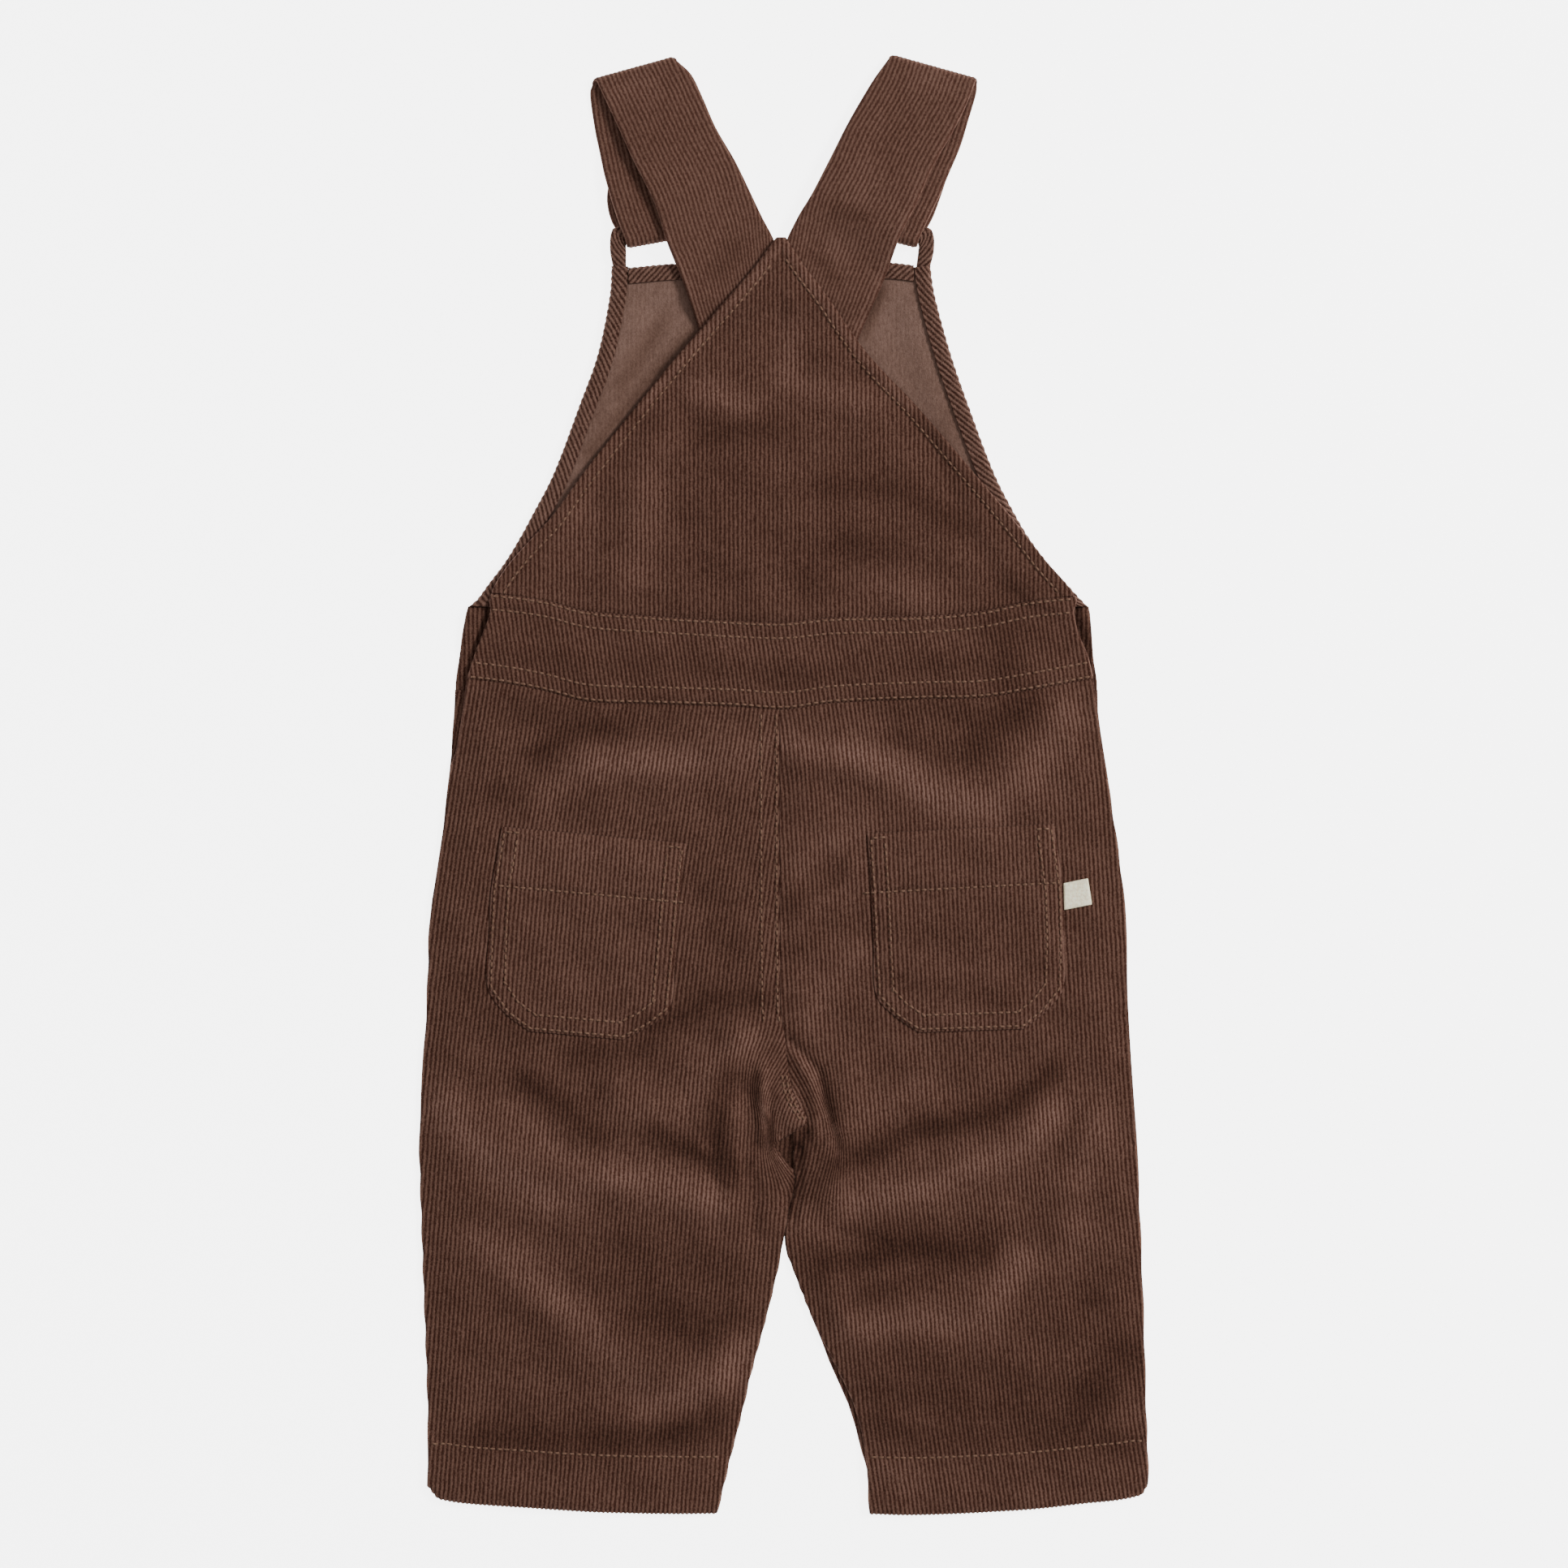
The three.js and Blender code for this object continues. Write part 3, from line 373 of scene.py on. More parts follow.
def finish_piece(made, material, node):
    """Puts a piece in a CAD node's place: gives it its material, hangs it under the root and hides the
    node. It also works out the piece's area, half that of both faces seen from above, but does not use it."""
    made.data.materials.append(material)
    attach(made, "root")
    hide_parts(node)
    plan_area(made)


def plan_area(made):
    """Half the area that a mesh's triangles cover seen from above, in square metres."""
    points, corners = np.empty(len(made.data.vertices) * 3), np.empty(len(made.data.loops), int)
    made.data.vertices.foreach_get("co", points)
    made.data.loops.foreach_get("vertex_index", corners)
    a, b, c = points.reshape(-1, 3)[corners.reshape(-1, 3)].transpose(1, 0, 2)[:, :, :2]
    return float(np.abs(np.cross(b - a, c - a)).sum() / 4)


def rows_of(count, *extra):
    """Even parts of a panel's height, with a few closer ones."""
    return np.unique(np.concatenate([np.linspace(0, 1, count + 1), extra]))


corduroy = cloth_material("corduroy", groove=linear(50, 25, 16), ridge=linear(97, 70, 59))

GAP = 0.3
FRONT_RELIEF, FRONT_SAW = 0.3, 0.3
HEM_FOLD = 0.0675
LEG_ROWS = rows_of(38, 0.012, HEM_FOLD - 0.006, HEM_FOLD, HEM_FOLD + 0.006)
# y, then the wales' lean to the right in degrees
LEFT_LEAN = leaning(np.array([
    (-300, 4.0), (-220, 5.0), (-190, 4.5), (-140, 4.5), (-110, 6.5), (-60, 7.0), (-32, 9.0), (48, 9.5),
]))
RIGHT_LEAN = leaning(np.array([
    (-300, -9.0), (-260, -8.0), (-220, -3.0), (-192, -8.0), (-165, -5.0), (-112, -4.0), (-60, -2.5),
    (-5, -4.0), (21, -7.5), (48, -9.0),
]))


def edge(column):
    """One of the outline's edges as a function of y."""
    return lambda y: smooth(y, OUTLINE, column)


def inner(column):
    """One of the legs' inner edges as a function of y."""
    return lambda y: smooth(y, INNER, column)


def hem(x):
    """y of the hems' lower edge."""
    return smooth(x, HEM)


def level(height):
    """A straight edge at one y, as a function of x."""
    return lambda x: 0 * x + height


def on_floor(x, y):
    """An underside at height 0."""
    return 0 * x


# Width and amount, then x and y along each stroke of painted light and shade: painted shadow
# beside the back layer's edges and in the crotch's recess, and one lighter patch
front_painted_shading = strokes(
    (3, -0.7, -127.5, 41.9, -120.5, 70.1), (10, -0.2, -132.4, 23.6, -129.6, 56.4),
    (3, -0.6, -137.3, -9.5, -134.7, 19.5), (5, -0.5, 126.8, 34.2, 125.2, 65.8),
    (30, 0.25, 63.9, -192.2, 76.1, -187.8),
    (5, -0.7, 2, -146, 3, -158),
)
leg_head = level(FRONT_WAIST_FOOT - GAP)
finish_piece(
    cord_panel("cloth_front_leg_left", (-190, 20), LEG_ROWS, hem, leg_head, edge(FRONT_LEFT), inner(1),
               on_floor, hemmed, front_painted_shading, step=PITCH / 2, relief=FRONT_RELIEF,
               warp=lambda s, y: LEFT_LEAN(y), saw=FRONT_SAW),
    corduroy, "front_leg_left")
finish_piece(
    cord_panel("cloth_front_leg_right", (-30, 190), LEG_ROWS, hem, leg_head, inner(2), edge(FRONT_RIGHT),
               on_floor, hemmed, front_painted_shading, step=PITCH / 2, relief=FRONT_RELIEF,
               warp=lambda s, y: RIGHT_LEAN(y), saw=FRONT_SAW),
    corduroy, "front_leg_right")

# Front waistband
# A straight band of the same cloth between the front legs and the front bib, sewn to both. Only
# its ends show, past the back layer's narrower waist.

BIB_FOOT = 73.0


def waist_end_cloth(x, y):
    """One layer, swelling to the bindings' thickness at the upper ends, outside the back layer's edge."""
    outside = np.maximum(edge(BACK_LEFT)(y) - x, x - edge(BACK_RIGHT)(y))
    return CLOTH + 2.2 * ease((outside - 0.8) / 3) * ease((y - 40) / 28)


finish_piece(
    cord_panel("cloth_front_waistband", (-140, 135), rows_of(12), level(FRONT_WAIST_FOOT),
               level(BIB_FOOT - GAP), edge(FRONT_LEFT), edge(FRONT_RIGHT), on_floor, waist_end_cloth, front_painted_shading,
               step=PITCH / 2, relief=FRONT_RELIEF),
    corduroy, "front_waistband")

# Front bib
# One panel of the same cloth, seen from its smooth woven wrong side above the back bib's slanted
# edges. Its sides and top are lifted into their bindings.

BIAS_CLOTH = 1.0
BINDING_WIDTH = 7.0
WRONG_SIDE_RELIEF = 0.1
STATION = 0.55
EDGE_LIFT = BIAS_CLOTH + GAP
BINDING_HEIGHT = 2 * BIAS_CLOTH + CLOTH + 2 * GAP

# x and y along the bib's top edge, outside its binding
BIB_TOP = np.array([
    (-72, 211.4), (-63, 212.2), (-44, 213.8), (0, 214.2), (43, 214.2), (52, 213.3), (61, 212.0),
])


def from_side(x, y, left, right):
    """Distance to the nearer of two outline edges, measured square to it."""
    def square(column):
        """1 over the length of a step of 1 mm up an edge, which turns a level distance square to it."""
        return 1 / np.hypot(1, (edge(column)(y + 1) - edge(column)(y - 1)) / 2)
    return np.minimum((x - edge(left)(y)) * square(left), (edge(right)(y) - x) * square(right))


def bib_rest(x, y):
    """Underside of the front bib: the floor, eased up to the edge lift 10.5 mm before the bindings."""
    side = np.minimum(from_side(x, y, FRONT_LEFT, FRONT_RIGHT), smooth(x, BIB_TOP) - y)
    return EDGE_LIFT * ease((BINDING_WIDTH + 14 - side) / 10.5)


wrong_side = cloth_material("corduroy_wrong_side", groove=linear(83, 60, 51), ridge=linear(121, 95, 84),
                            cords=0.12, gain=0.8, sheen=0.15, speckle=0.5)
# Width and amount, then x and y along each stroke of painted light and shade: painted shadow
# beside the back bib's left edge and the straps, and painted light and shade of soft folds
bib_painted_shading = strokes(
    (3.2, -0.45, -33, 190, -62, 158, -80, 135),
    (9, 0.2, -57.9, 92.9, -66.1, 131.1), (40, -0.05, -12.7, 150, 12.7, 150), (12, 0.15, 41, 190, 49, 190),
    (14, 0.1, -50.3, 195, -49.7, 195), (6, -0.15, -68.4, 129.7, -81.6, 170.3),
    (6, -0.15, 61.4, 129.7, 74.6, 170.3), (3.5, -0.35, -66.9, 162.8, -49.1, 191.2),
    (2.5, 0.12, -71.8, 169.5, -64.2, 190.5), (3, -0.6, 33.6, 186.7, 39.8, 202.3),
)
finish_piece(
    cord_panel("cloth_front_bib", (-128, 125), rows_of(30, 0.92, 0.95, 0.975), level(BIB_FOOT),
               lambda x: smooth(x, BIB_TOP) - EDGE_LIFT, lambda y: edge(FRONT_LEFT)(y) + EDGE_LIFT * 1.25,
               lambda y: edge(FRONT_RIGHT)(y) - EDGE_LIFT * 1.25, bib_rest, one_layer, bib_painted_shading,
               step=PITCH, relief=WRONG_SIDE_RELIEF),
    wrong_side, "front_bib")

# Bindings of the front bib
# Strips of the cloth cut on the bias, folded over the bib's two slanted sides and its top edge and
# stitched through near their inner edge.


def sweep(name, rings, turns, along, painted_shading):
    """Closed band: each station's ring of points is joined to the next one's. A ring's point k lies
    over point R - k of its R points, and the end caps run between such pairs."""
    stations, ring = rings.shape[:2]
    index = np.arange(stations * ring).reshape(stations, ring)
    around = np.concatenate([index, index[:, :1]], axis=1)
    places = np.arange(stations * (ring + 1)).reshape(stations, ring + 1)

    k = np.arange(ring // 2)
    cap = np.concatenate([np.stack([k, (ring - k) % ring, ring - k - 1], -1),
                          np.stack([k, ring - k - 1, k + 1], -1)])
    cap = cap[(cap != np.roll(cap, 1, axis=1)).all(1)]
    caps = np.concatenate([cap, cap[:, ::-1] + (stations - 1) * ring])
    triangles = np.concatenate([grid_cells(around), caps])
    u, v = np.meshgrid(np.arange(ring + 1) / ring, np.arange(stations) / (stations - 1))
    laid = np.stack([u, v], -1).reshape(-1, 2) * 0.97 + 0.015
    bake = np.concatenate([laid[grid_cells(places)], laid[caps // ring * (ring + 1) + caps % ring]])
    points = rings.reshape(-1, 3)
    a, b, c = points[triangles].transpose(1, 0, 2)
    if (a * np.cross(b, c)).sum() < 0:
        triangles, bake = triangles[:, ::-1], bake[:, ::-1]
    cord = np.stack([turns.ravel(), np.repeat(along, ring) * MM], -1)
    return solid_mesh(name, points, triangles, cord[triangles], bake, painted_shading(points[:, 0], points[:, 1]))


def no_painted_shading(x, y):
    """No painted light or shade anywhere."""
    return 0 * x


def binding(name, x, y, in_x, in_y, wale_along, wale_deep):
    """Binding along stations of an edge. Its section is a C round the bib's edge: an outer line and,
    one cloth inside it, an inner line, joined at the two lips. Cords cross it at a slant: their
    phase grows by the given parts of a turn per pitch along the edge and in from it."""
    middle, radius = BINDING_HEIGHT / 2, BINDING_HEIGHT / 2
    angle = np.radians(np.linspace(270, 90, 11))
    low, high = np.array([6.8, 5.2, 3.6]), np.arange(radius + 0.35, BINDING_WIDTH - 0.1, 0.33)
    deep = np.concatenate([low, radius + radius * np.cos(angle), high])
    z = np.concatenate([0 * low, middle + radius * np.sin(angle), BINDING_HEIGHT + 0 * high])
    normal = np.concatenate([np.tile([0, -1], (len(low), 1)), np.stack([np.cos(angle), np.sin(angle)], -1),
                             np.tile([0, 1], (len(high), 1))])
    small = radius - BIAS_CLOTH
    deep_in = np.concatenate([low, radius + small * np.cos(angle), high])
    z_in = np.concatenate([0 * low + BIAS_CLOTH, middle + small * np.sin(angle),
                           BINDING_HEIGHT - BIAS_CLOTH + 0 * high])
    along = np.concatenate([[0], np.cumsum(np.hypot(np.diff(x), np.diff(y)))])
    turns = (along[:, None] * wale_along + deep[None, :] * wale_deep) / PITCH
    puff = np.where(z > middle, 0.35 * np.sin(np.pi * np.clip((deep - 0.6) / 5.2, 0, 1)), 0)
    out = puff[None, :] - 0.35 * (1 - wale(turns)) * (z > 0.2)
    outer = np.stack([deep + out * normal[:, 0], z + out * normal[:, 1]], -1)
    lips = np.tile(np.array([[BINDING_WIDTH, 0.5], [BINDING_WIDTH, BINDING_HEIGHT - 0.5]]), (len(x), 1, 1))
    inside = np.tile(np.stack([deep_in, z_in], -1)[::-1], (len(x), 1, 1))
    section = np.concatenate([lips[:, :1], outer, lips[:, 1:], inside], axis=1)
    phase = np.concatenate([turns[:, :1], turns, turns[:, -1:], turns[:, ::-1]], axis=1)
    rings = np.stack([x[:, None] + in_x[:, None] * section[..., 0],
                      y[:, None] + in_y[:, None] * section[..., 0], section[..., 1]], -1)
    return sweep(name, rings, phase, along, no_painted_shading)


def side_stations(column, inward):
    """Stations up a slanted side. The way in is square to the edge, but level at the waistband."""
    y = np.arange(BIB_FOOT - 0.15, 212.7, STATION)
    lean = (edge(column)(y + 1) - edge(column)(y - 1)) / 2
    length = np.hypot(1, lean)
    square = ease((y - BIB_FOOT) / 14)
    in_x = inward * (length + (1 / length - length) * square)
    return edge(column)(y), y, in_x, -inward * lean / length * square


bias = cloth_material("corduroy_bias", groove=linear(50, 27, 19), ridge=linear(107, 80, 69))
LEFT_SLANT, RIGHT_SLANT = math.radians(42), math.radians(32)
finish_piece(binding("cloth_binding_left", *side_stations(FRONT_LEFT, 1), math.sin(LEFT_SLANT),
                     math.cos(LEFT_SLANT)),
             bias, "binding_left")
finish_piece(binding("cloth_binding_right", *side_stations(FRONT_RIGHT, -1), -math.sin(RIGHT_SLANT),
                     math.cos(RIGHT_SLANT)),
             bias, "binding_right")
top_x = np.arange(-63.9, 53.6, STATION)
finish_piece(binding("cloth_binding_top", top_x, smooth(top_x, BIB_TOP), 0 * top_x, 0 * top_x - 1,
                     math.sqrt(0.5), math.sqrt(0.5)),
             bias, "binding_top")

# Loops
# A narrow tube of the cloth at each upper corner of the bib, both ends sewn under the top binding,
# so that the strap can pass over its bar.

# Cross rows up the outer leg, along the bar inside the strap and down the inner leg:
# outer edge x, y, z, then inner edge x, y, z
LOOPS = {
    "left": np.array([
        (-69.6, 211.2, 1.9, -65.2, 211.6, 1.9), (-71.0, 218.6, 3.3, -65.1, 218.0, 3.3),
        (-70.6, 226.0, 3.3, -65.0, 221.4, 3.3), (-67.6, 228.4, 3.3, -63.4, 223.0, 3.3),
        (-54.0, 230.4, 3.3, -54.0, 224.8, 3.3), (-38.4, 231.4, 3.3, -42.6, 226.6, 3.3),
        (-35.8, 229.4, 3.3, -41.6, 225.2, 3.3), (-35.6, 221.0, 3.1, -41.6, 221.0, 3.1),
        (-35.6, 214.6, 2.3, -41.6, 214.6, 2.3),
    ]),
    "right": np.array([
        (59.4, 211.3, 1.9, 54.6, 212.0, 1.9), (61.2, 219.0, 3.3, 55.4, 218.4, 3.3),
        (60.9, 225.6, 3.3, 55.4, 221.4, 3.3), (57.8, 228.4, 3.3, 53.6, 223.3, 3.3),
        (44.6, 231.4, 3.3, 44.6, 225.6, 3.3), (29.4, 233.2, 3.3, 33.6, 228.0, 3.3),
        (26.9, 231.2, 3.3, 32.8, 226.8, 3.3), (26.8, 221.6, 3.1, 32.8, 221.6, 3.1),
        (26.8, 214.8, 2.3, 32.8, 214.8, 2.3),
    ]),
}


def loop_cloth(y):
    """The tape's thickness, pressed thin where its outer end enters the side binding."""
    return 1.4 + 0.6 * ease((y - 212.6) / 3)


def path_through(rows, count):
    """Cross rows read at even steps off smooth curves through the given ones."""
    table = np.column_stack([np.arange(len(rows)), rows])
    at = np.linspace(0, len(rows) - 1, count)
    return np.stack([smooth(at, table, k) for k in range(1, 7)], -1)


def band(name, path, columns, thick, rest, wale_along, wale_across, relief, painted_shading):
    """Closed band of corded cloth along its cross rows: each row is divided evenly, the points are set
    off to both sides along the surface's normal by half the thickness at their y, and one bulged
    point rounds each edge."""
    part = np.linspace(0, 1, columns)[None, :, None]
    mid = path[:, None, :3] + (path[:, None, 3:] - path[:, None, :3]) * part
    mid[..., 2] = rest(mid[..., 0], mid[..., 1], mid[..., 2])
    across, ahead = np.gradient(mid, axis=1), np.gradient(mid, axis=0)
    normal = np.cross(across, ahead)
    normal /= np.linalg.norm(normal, axis=-1, keepdims=True)
    width = np.cumsum(np.linalg.norm(across, axis=-1), axis=1)
    run = np.concatenate([[0], np.cumsum(np.linalg.norm(np.diff(mid[:, columns // 2], axis=0), axis=-1))])
    turns = (run[:, None] * wale_along + width * wale_across) / PITCH
    round_off = 0.55 * np.exp(-((np.minimum(width, width[:, -1:] - width) / 0.7) ** 2))
    half = (thick(mid[..., 1]) / 2 - relief * (1 - wale(turns)) - round_off)[..., None] * normal
    bulge = 0.35 * (mid[:, 0] - mid[:, 1]) / np.linalg.norm(mid[:, 0] - mid[:, 1], axis=-1, keepdims=True)
    near, far = (mid[:, 0] + bulge)[:, None], (mid[:, -1] - bulge)[:, None]
    rings = np.concatenate([near, mid + half, far, (mid - half)[:, ::-1]], axis=1)
    phase = np.concatenate([turns[:, :1], turns, turns[:, -1:], turns[:, ::-1]], axis=1)
    return sweep(name, rings, phase, run, painted_shading)


for side in ("left", "right"):
    finish_piece(
        band(f"cloth_loop_{side}", path_through(LOOPS[side], 70), 14, loop_cloth, lambda x, y, z: z,
             wale_along=0.6, wale_across=0.8, relief=0.3, painted_shading=no_painted_shading),
        bias, f"loop_{side}")

# Straps
# Two tapered tubes of the cloth pressed flat, wales lengthwise. Each is sewn under the back bib's
# edge, runs up, folds back over itself and comes down through its loop, with its tail turned
# up underneath, where the fastening is hidden.

# Cross rows of the upper run, the lower run and the tail: outer edge x, y, z, then inner edge x, y, z
STRAPS = {
    "left": (
        np.array([
            (-29.9, 172.6, 2.6, -2.7, 214, 2.6), (-33.7, 183.5, 2.0, -3.9, 221.6, 5.2),
            (-41.0, 205.2, 5.2, -9.5, 232.6, 5.6), (-47.6, 221.8, 8.5, -13.6, 241.2, 6.3),
            (-53.0, 238.2, 8.5, -20.2, 254.8, 6.2), (-61.0, 254.5, 7.1, -28.2, 268.8, 5.2),
            (-67.2, 268.2, 5.4, -33.6, 281.2, 4.6), (-71.8, 278.2, 4.6, -38.2, 290.6, 4.2),
            (-76.2, 287.6, 4.0, -44.2, 296.5, 4.0),
        ]),
        np.array([
            (-78.4, 287.2, 1.05, -45.4, 296.2, 1.05), (-79.3, 282.6, 1.05, -45.2, 289.2, 1.05),
            (-77.3, 268.5, 1.05, -42.7, 274.2, 1.05), (-75.4, 259.4, 1.5, -41.4, 264.2, 1.5),
            (-73.4, 250.0, 3.3, -41.0, 253.4, 3.3), (-70.6, 240.0, 4.4, -41.2, 243.2, 4.4),
            (-67.6, 230.6, 5.4, -42.0, 234.4, 5.4), (-64.6, 222.8, 5.6, -42.4, 226.8, 5.6),
        ]),
        np.array([
            (-64.6, 222.8, 1.05, -42.6, 226.8, 1.05), (-70.2, 230.4, 1.05, -43.2, 234.6, 1.05),
            (-72.4, 239.4, 1.05, -43.4, 242.4, 1.05), (-71.6, 247.4, 1.05, -43.2, 249.6, 1.05),
        ]),
    ),
    "right": (
        np.array([
            (27.7, 174.0, 2.6, -0.5, 214, 2.6), (31.3, 185.2, 2.0, 0.9, 221.6, 5.2),
            (40.6, 206.2, 5.2, 6.2, 232.6, 5.6), (46.8, 223.2, 8.5, 11.8, 241.8, 6.3),
            (54.0, 237.6, 8.5, 19.0, 255.8, 6.2), (61.0, 253.4, 7.1, 26.0, 269.8, 5.2),
            (68.4, 266.4, 5.4, 32.2, 280.8, 4.6), (74.4, 278.2, 4.6, 37.6, 289.6, 4.2),
            (78.0, 287.6, 4.0, 43.2, 297.3, 4.0),
        ]),
        np.array([
            (78.9, 287.4, 1.05, 44.2, 297.1, 1.05), (78.5, 283.2, 1.05, 43.6, 291.6, 1.05),
            (75.4, 272.6, 1.05, 41.0, 281.4, 1.05), (72.2, 262.0, 1.5, 38.4, 270.4, 1.5),
            (67.8, 251.4, 3.3, 35.6, 258.6, 3.3), (63.2, 240.6, 4.4, 34.2, 247.4, 4.4),
            (58.6, 231.0, 5.4, 33.4, 237.2, 5.4), (54.9, 222.9, 5.6, 33.4, 228.2, 5.6),
        ]),
        np.array([
            (54.9, 222.9, 1.05, 33.6, 228.2, 1.05), (60.2, 231.4, 1.05, 34.2, 236.4, 1.05),
            (63.6, 240.0, 1.05, 35.0, 244.4, 1.05), (66.4, 248.4, 1.05, 36.2, 252.4, 1.05),
        ]),
    ),
}
STRAP_CLOTH = 2.0


def strap_middle(y):
    """Mid height of a strap's sewn end, which climbs from the bib's cloth onto the top binding."""
    return 2.6 + 2.65 * ease((y - 188) / 13)


def strap_rest(x, y, z):
    """A strap's own mid height, but at its sewn end the higher of that and the end's."""
    return np.where(y < 218, np.maximum(z, strap_middle(y)), z)


def half_turn(start, end, toward):
    """Cross rows from one row round to the one under it: a half circle that bulges along y."""
    angle = np.pi * np.arange(1, 8)[:, None] / 8
    width = start[3:5] - start[:2]
    away = np.array([-width[1], width[0]]) / np.hypot(*width)
    out = toward * np.sign(away[1]) * abs(start[2] - end[2]) / 2 * np.sin(angle)
    bulge = np.concatenate([out * away, 0 * angle, out * away, 0 * angle], axis=1)
    return start + (end - start) * (1 - np.cos(angle)) / 2 + bulge


strap_cloth = cloth_material("corduroy_strap", groove=linear(64, 38, 29), ridge=linear(101, 74, 63))
# Width and amount, then x and y along each stroke of painted light and shade: painted highlights
# along the upper runs' outer edges, and painted shade where the runs overlap and at the sewn ends
strap_painted_shading = strokes(
    (0.9, 0.35, -62.5, 259.5, -33, 190.5), (0.9, 0.35, 55, 246, 29.3, 185.5),
    (3, -0.35, -50, 229.5, -62, 250.5), (5, 0.25, -68.9, 283.2, -55.1, 286.8),
    (5, 0.25, 55.1, 289.8, 68.9, 286.2), (6, -0.3, -27, 210.7, -21, 219.3),
    (3, -0.3, 12.9, 216.8, 21.1, 205.2), (4, 0.3, 19.9, 220.8, 24.1, 217.2),
    (4, -0.4, 22, 236, 31.6, 231.6), (10, 0.15, 27.8, 240.2, 32.2, 249.8),
    (10, -0.1, -61.1, 259.8, -48.9, 264.2), (8, -0.15, 42.7, 255, 49.3, 269),
)
for side in ("left", "right"):
    rows = STRAPS[side]
    upper, lower, tail = (path_through(r, n) for r, n in zip(rows, (76, 44, 16)))
    over_shoulder, round_bar = half_turn(upper[-1], lower[0], 1), half_turn(lower[-1], tail[0], -1)
    path = np.concatenate([upper, over_shoulder, lower, round_bar, tail])
    finish_piece(
        band(f"cloth_strap_{side}", path, 78, lambda y: 0 * y + STRAP_CLOTH, strap_rest,
             wale_along=0.0, wale_across=1.0, relief=0.26, painted_shading=strap_painted_shading),
        strap_cloth, f"strap_{side}")

# Back bib
# A triangle of the cloth over the strap ends and the front bib, its slanted edges turned under and
# topstitched. It is sewn to the back waistband.

PEAK = 223.5
CROTCH = -186.0
PUFF = 1.2
RIPPLE = 0.16
SEAM_DIP = 0.7
EDGE_CURL = 0.9

# x, then y of the seams over and under the back waistband
WAIST = np.array([
    (-134, 78.6, 43.6), (-115, 77.6, 41.4), (-98, 75.2, 38.2), (-81, 70.9, 33.9), (-54, 68.8, 32.8),
    (-20, 66.9, 31.8), (0, 66.3, 30.6), (20, 68.2, 33.2), (57, 68.8, 34.8), (81, 70.9, 35.4),
    (101, 75.0, 38.5), (132, 78.0, 44.4),
])

# Width and height, then x and y along each soft ridge of the back layer, and along its troughs,
# whose height is negative
folds = strokes(
    (9, 1.7, -140, -130, -108, -156), (10, 1.9, -108, -156, -26, -173), (8, 1.2, -68, -129, -38, -140),
    (10, 1.4, -122, -196, -88, -222), (11, 1.7, -88, -222, -24, -246), (7, 1.7, -34, -138, -20, -106),
    (7, 1.3, -24, -176, -18, -142), (10, 1.9, 44, -176, 104, -136), (11, 1.7, 22, -218, 88, -208),
    (8, 1.5, 18, -168, 26, -118), (9, 1, 112, -180, 126, -140), (9, 1.3, -76, 12, -22, 16),
    (9, 1.3, 10, 10, 50, 8), (9, 1.3, 58, -6, 98, 0), (9, 1, -36, 159, -10, 156),
    (9, 0.9, 14, 158, 34, 154), (10, 1, -66, 88, -50, 150), (12, 0.8, 12, 112, 66, 104),
    (1.2, -0.9, -5.8, -134, -5.3, -147), (1.2, -1, -5.3, -147, 1.6, -156),
    (1.2, -0.8, 1.6, -156, 4.7, -163), (3, 1.5, -9, -118, -8.6, -146), (4.5, 0.8, -2, -128, 5, -139),
    (2.2, -1.8, 8, -143, 0, -150), (2.4, -1.6, 6, -150, 3, -178), (1.4, 0.9, -2, -147, 2, -156),
    (6, 0.9, -24, -118, -22, -165), (5, -0.8, -31, -136, -27, -182), (3.5, -0.9, -15, -128, -16, -160),
    (3.5, -0.7, -13, -160, -12, -184), (2, -1, 0.8, -103.7, 8, -111.5), (2, -1.1, 8, -111.5, 14.1, -118),
    (2.2, -1.2, 14.1, -118, 19.7, -138.7), (2.6, -0.9, 19.7, -138.7, 22.4, -150),
    (3, 1.1, 5, -112, 12, -125), (3.2, 1.2, 12, -125, 14, -146), (4, -0.8, 24, -186, 40, -188),
    (6, -0.7, -96, -140, -80, -126), (6, -0.8, -52, -152, -22, -158), (7, -0.8, -62, -222, -36, -230),
    (6, -0.8, 60, -148, 92, -138), (6, -0.7, 28, -200, 66, -195), (6, -0.7, -100, 22, -66, 24),
    (6, -0.6, 84, 12, 92, 26), (4, -0.5, 18, 28, 44, 28),
)


def ripples(x, y):
    """Slight unevenness of laid cloth: three long sine waves that cross at odd angles."""
    waves = ((0.21, 0.13, 0.0), (0.09, -0.24, 1.3), (0.07, 0.33, 4.0))
    return RIPPLE * sum(np.sin(across * x + along * y + start) for across, along, start in waves)


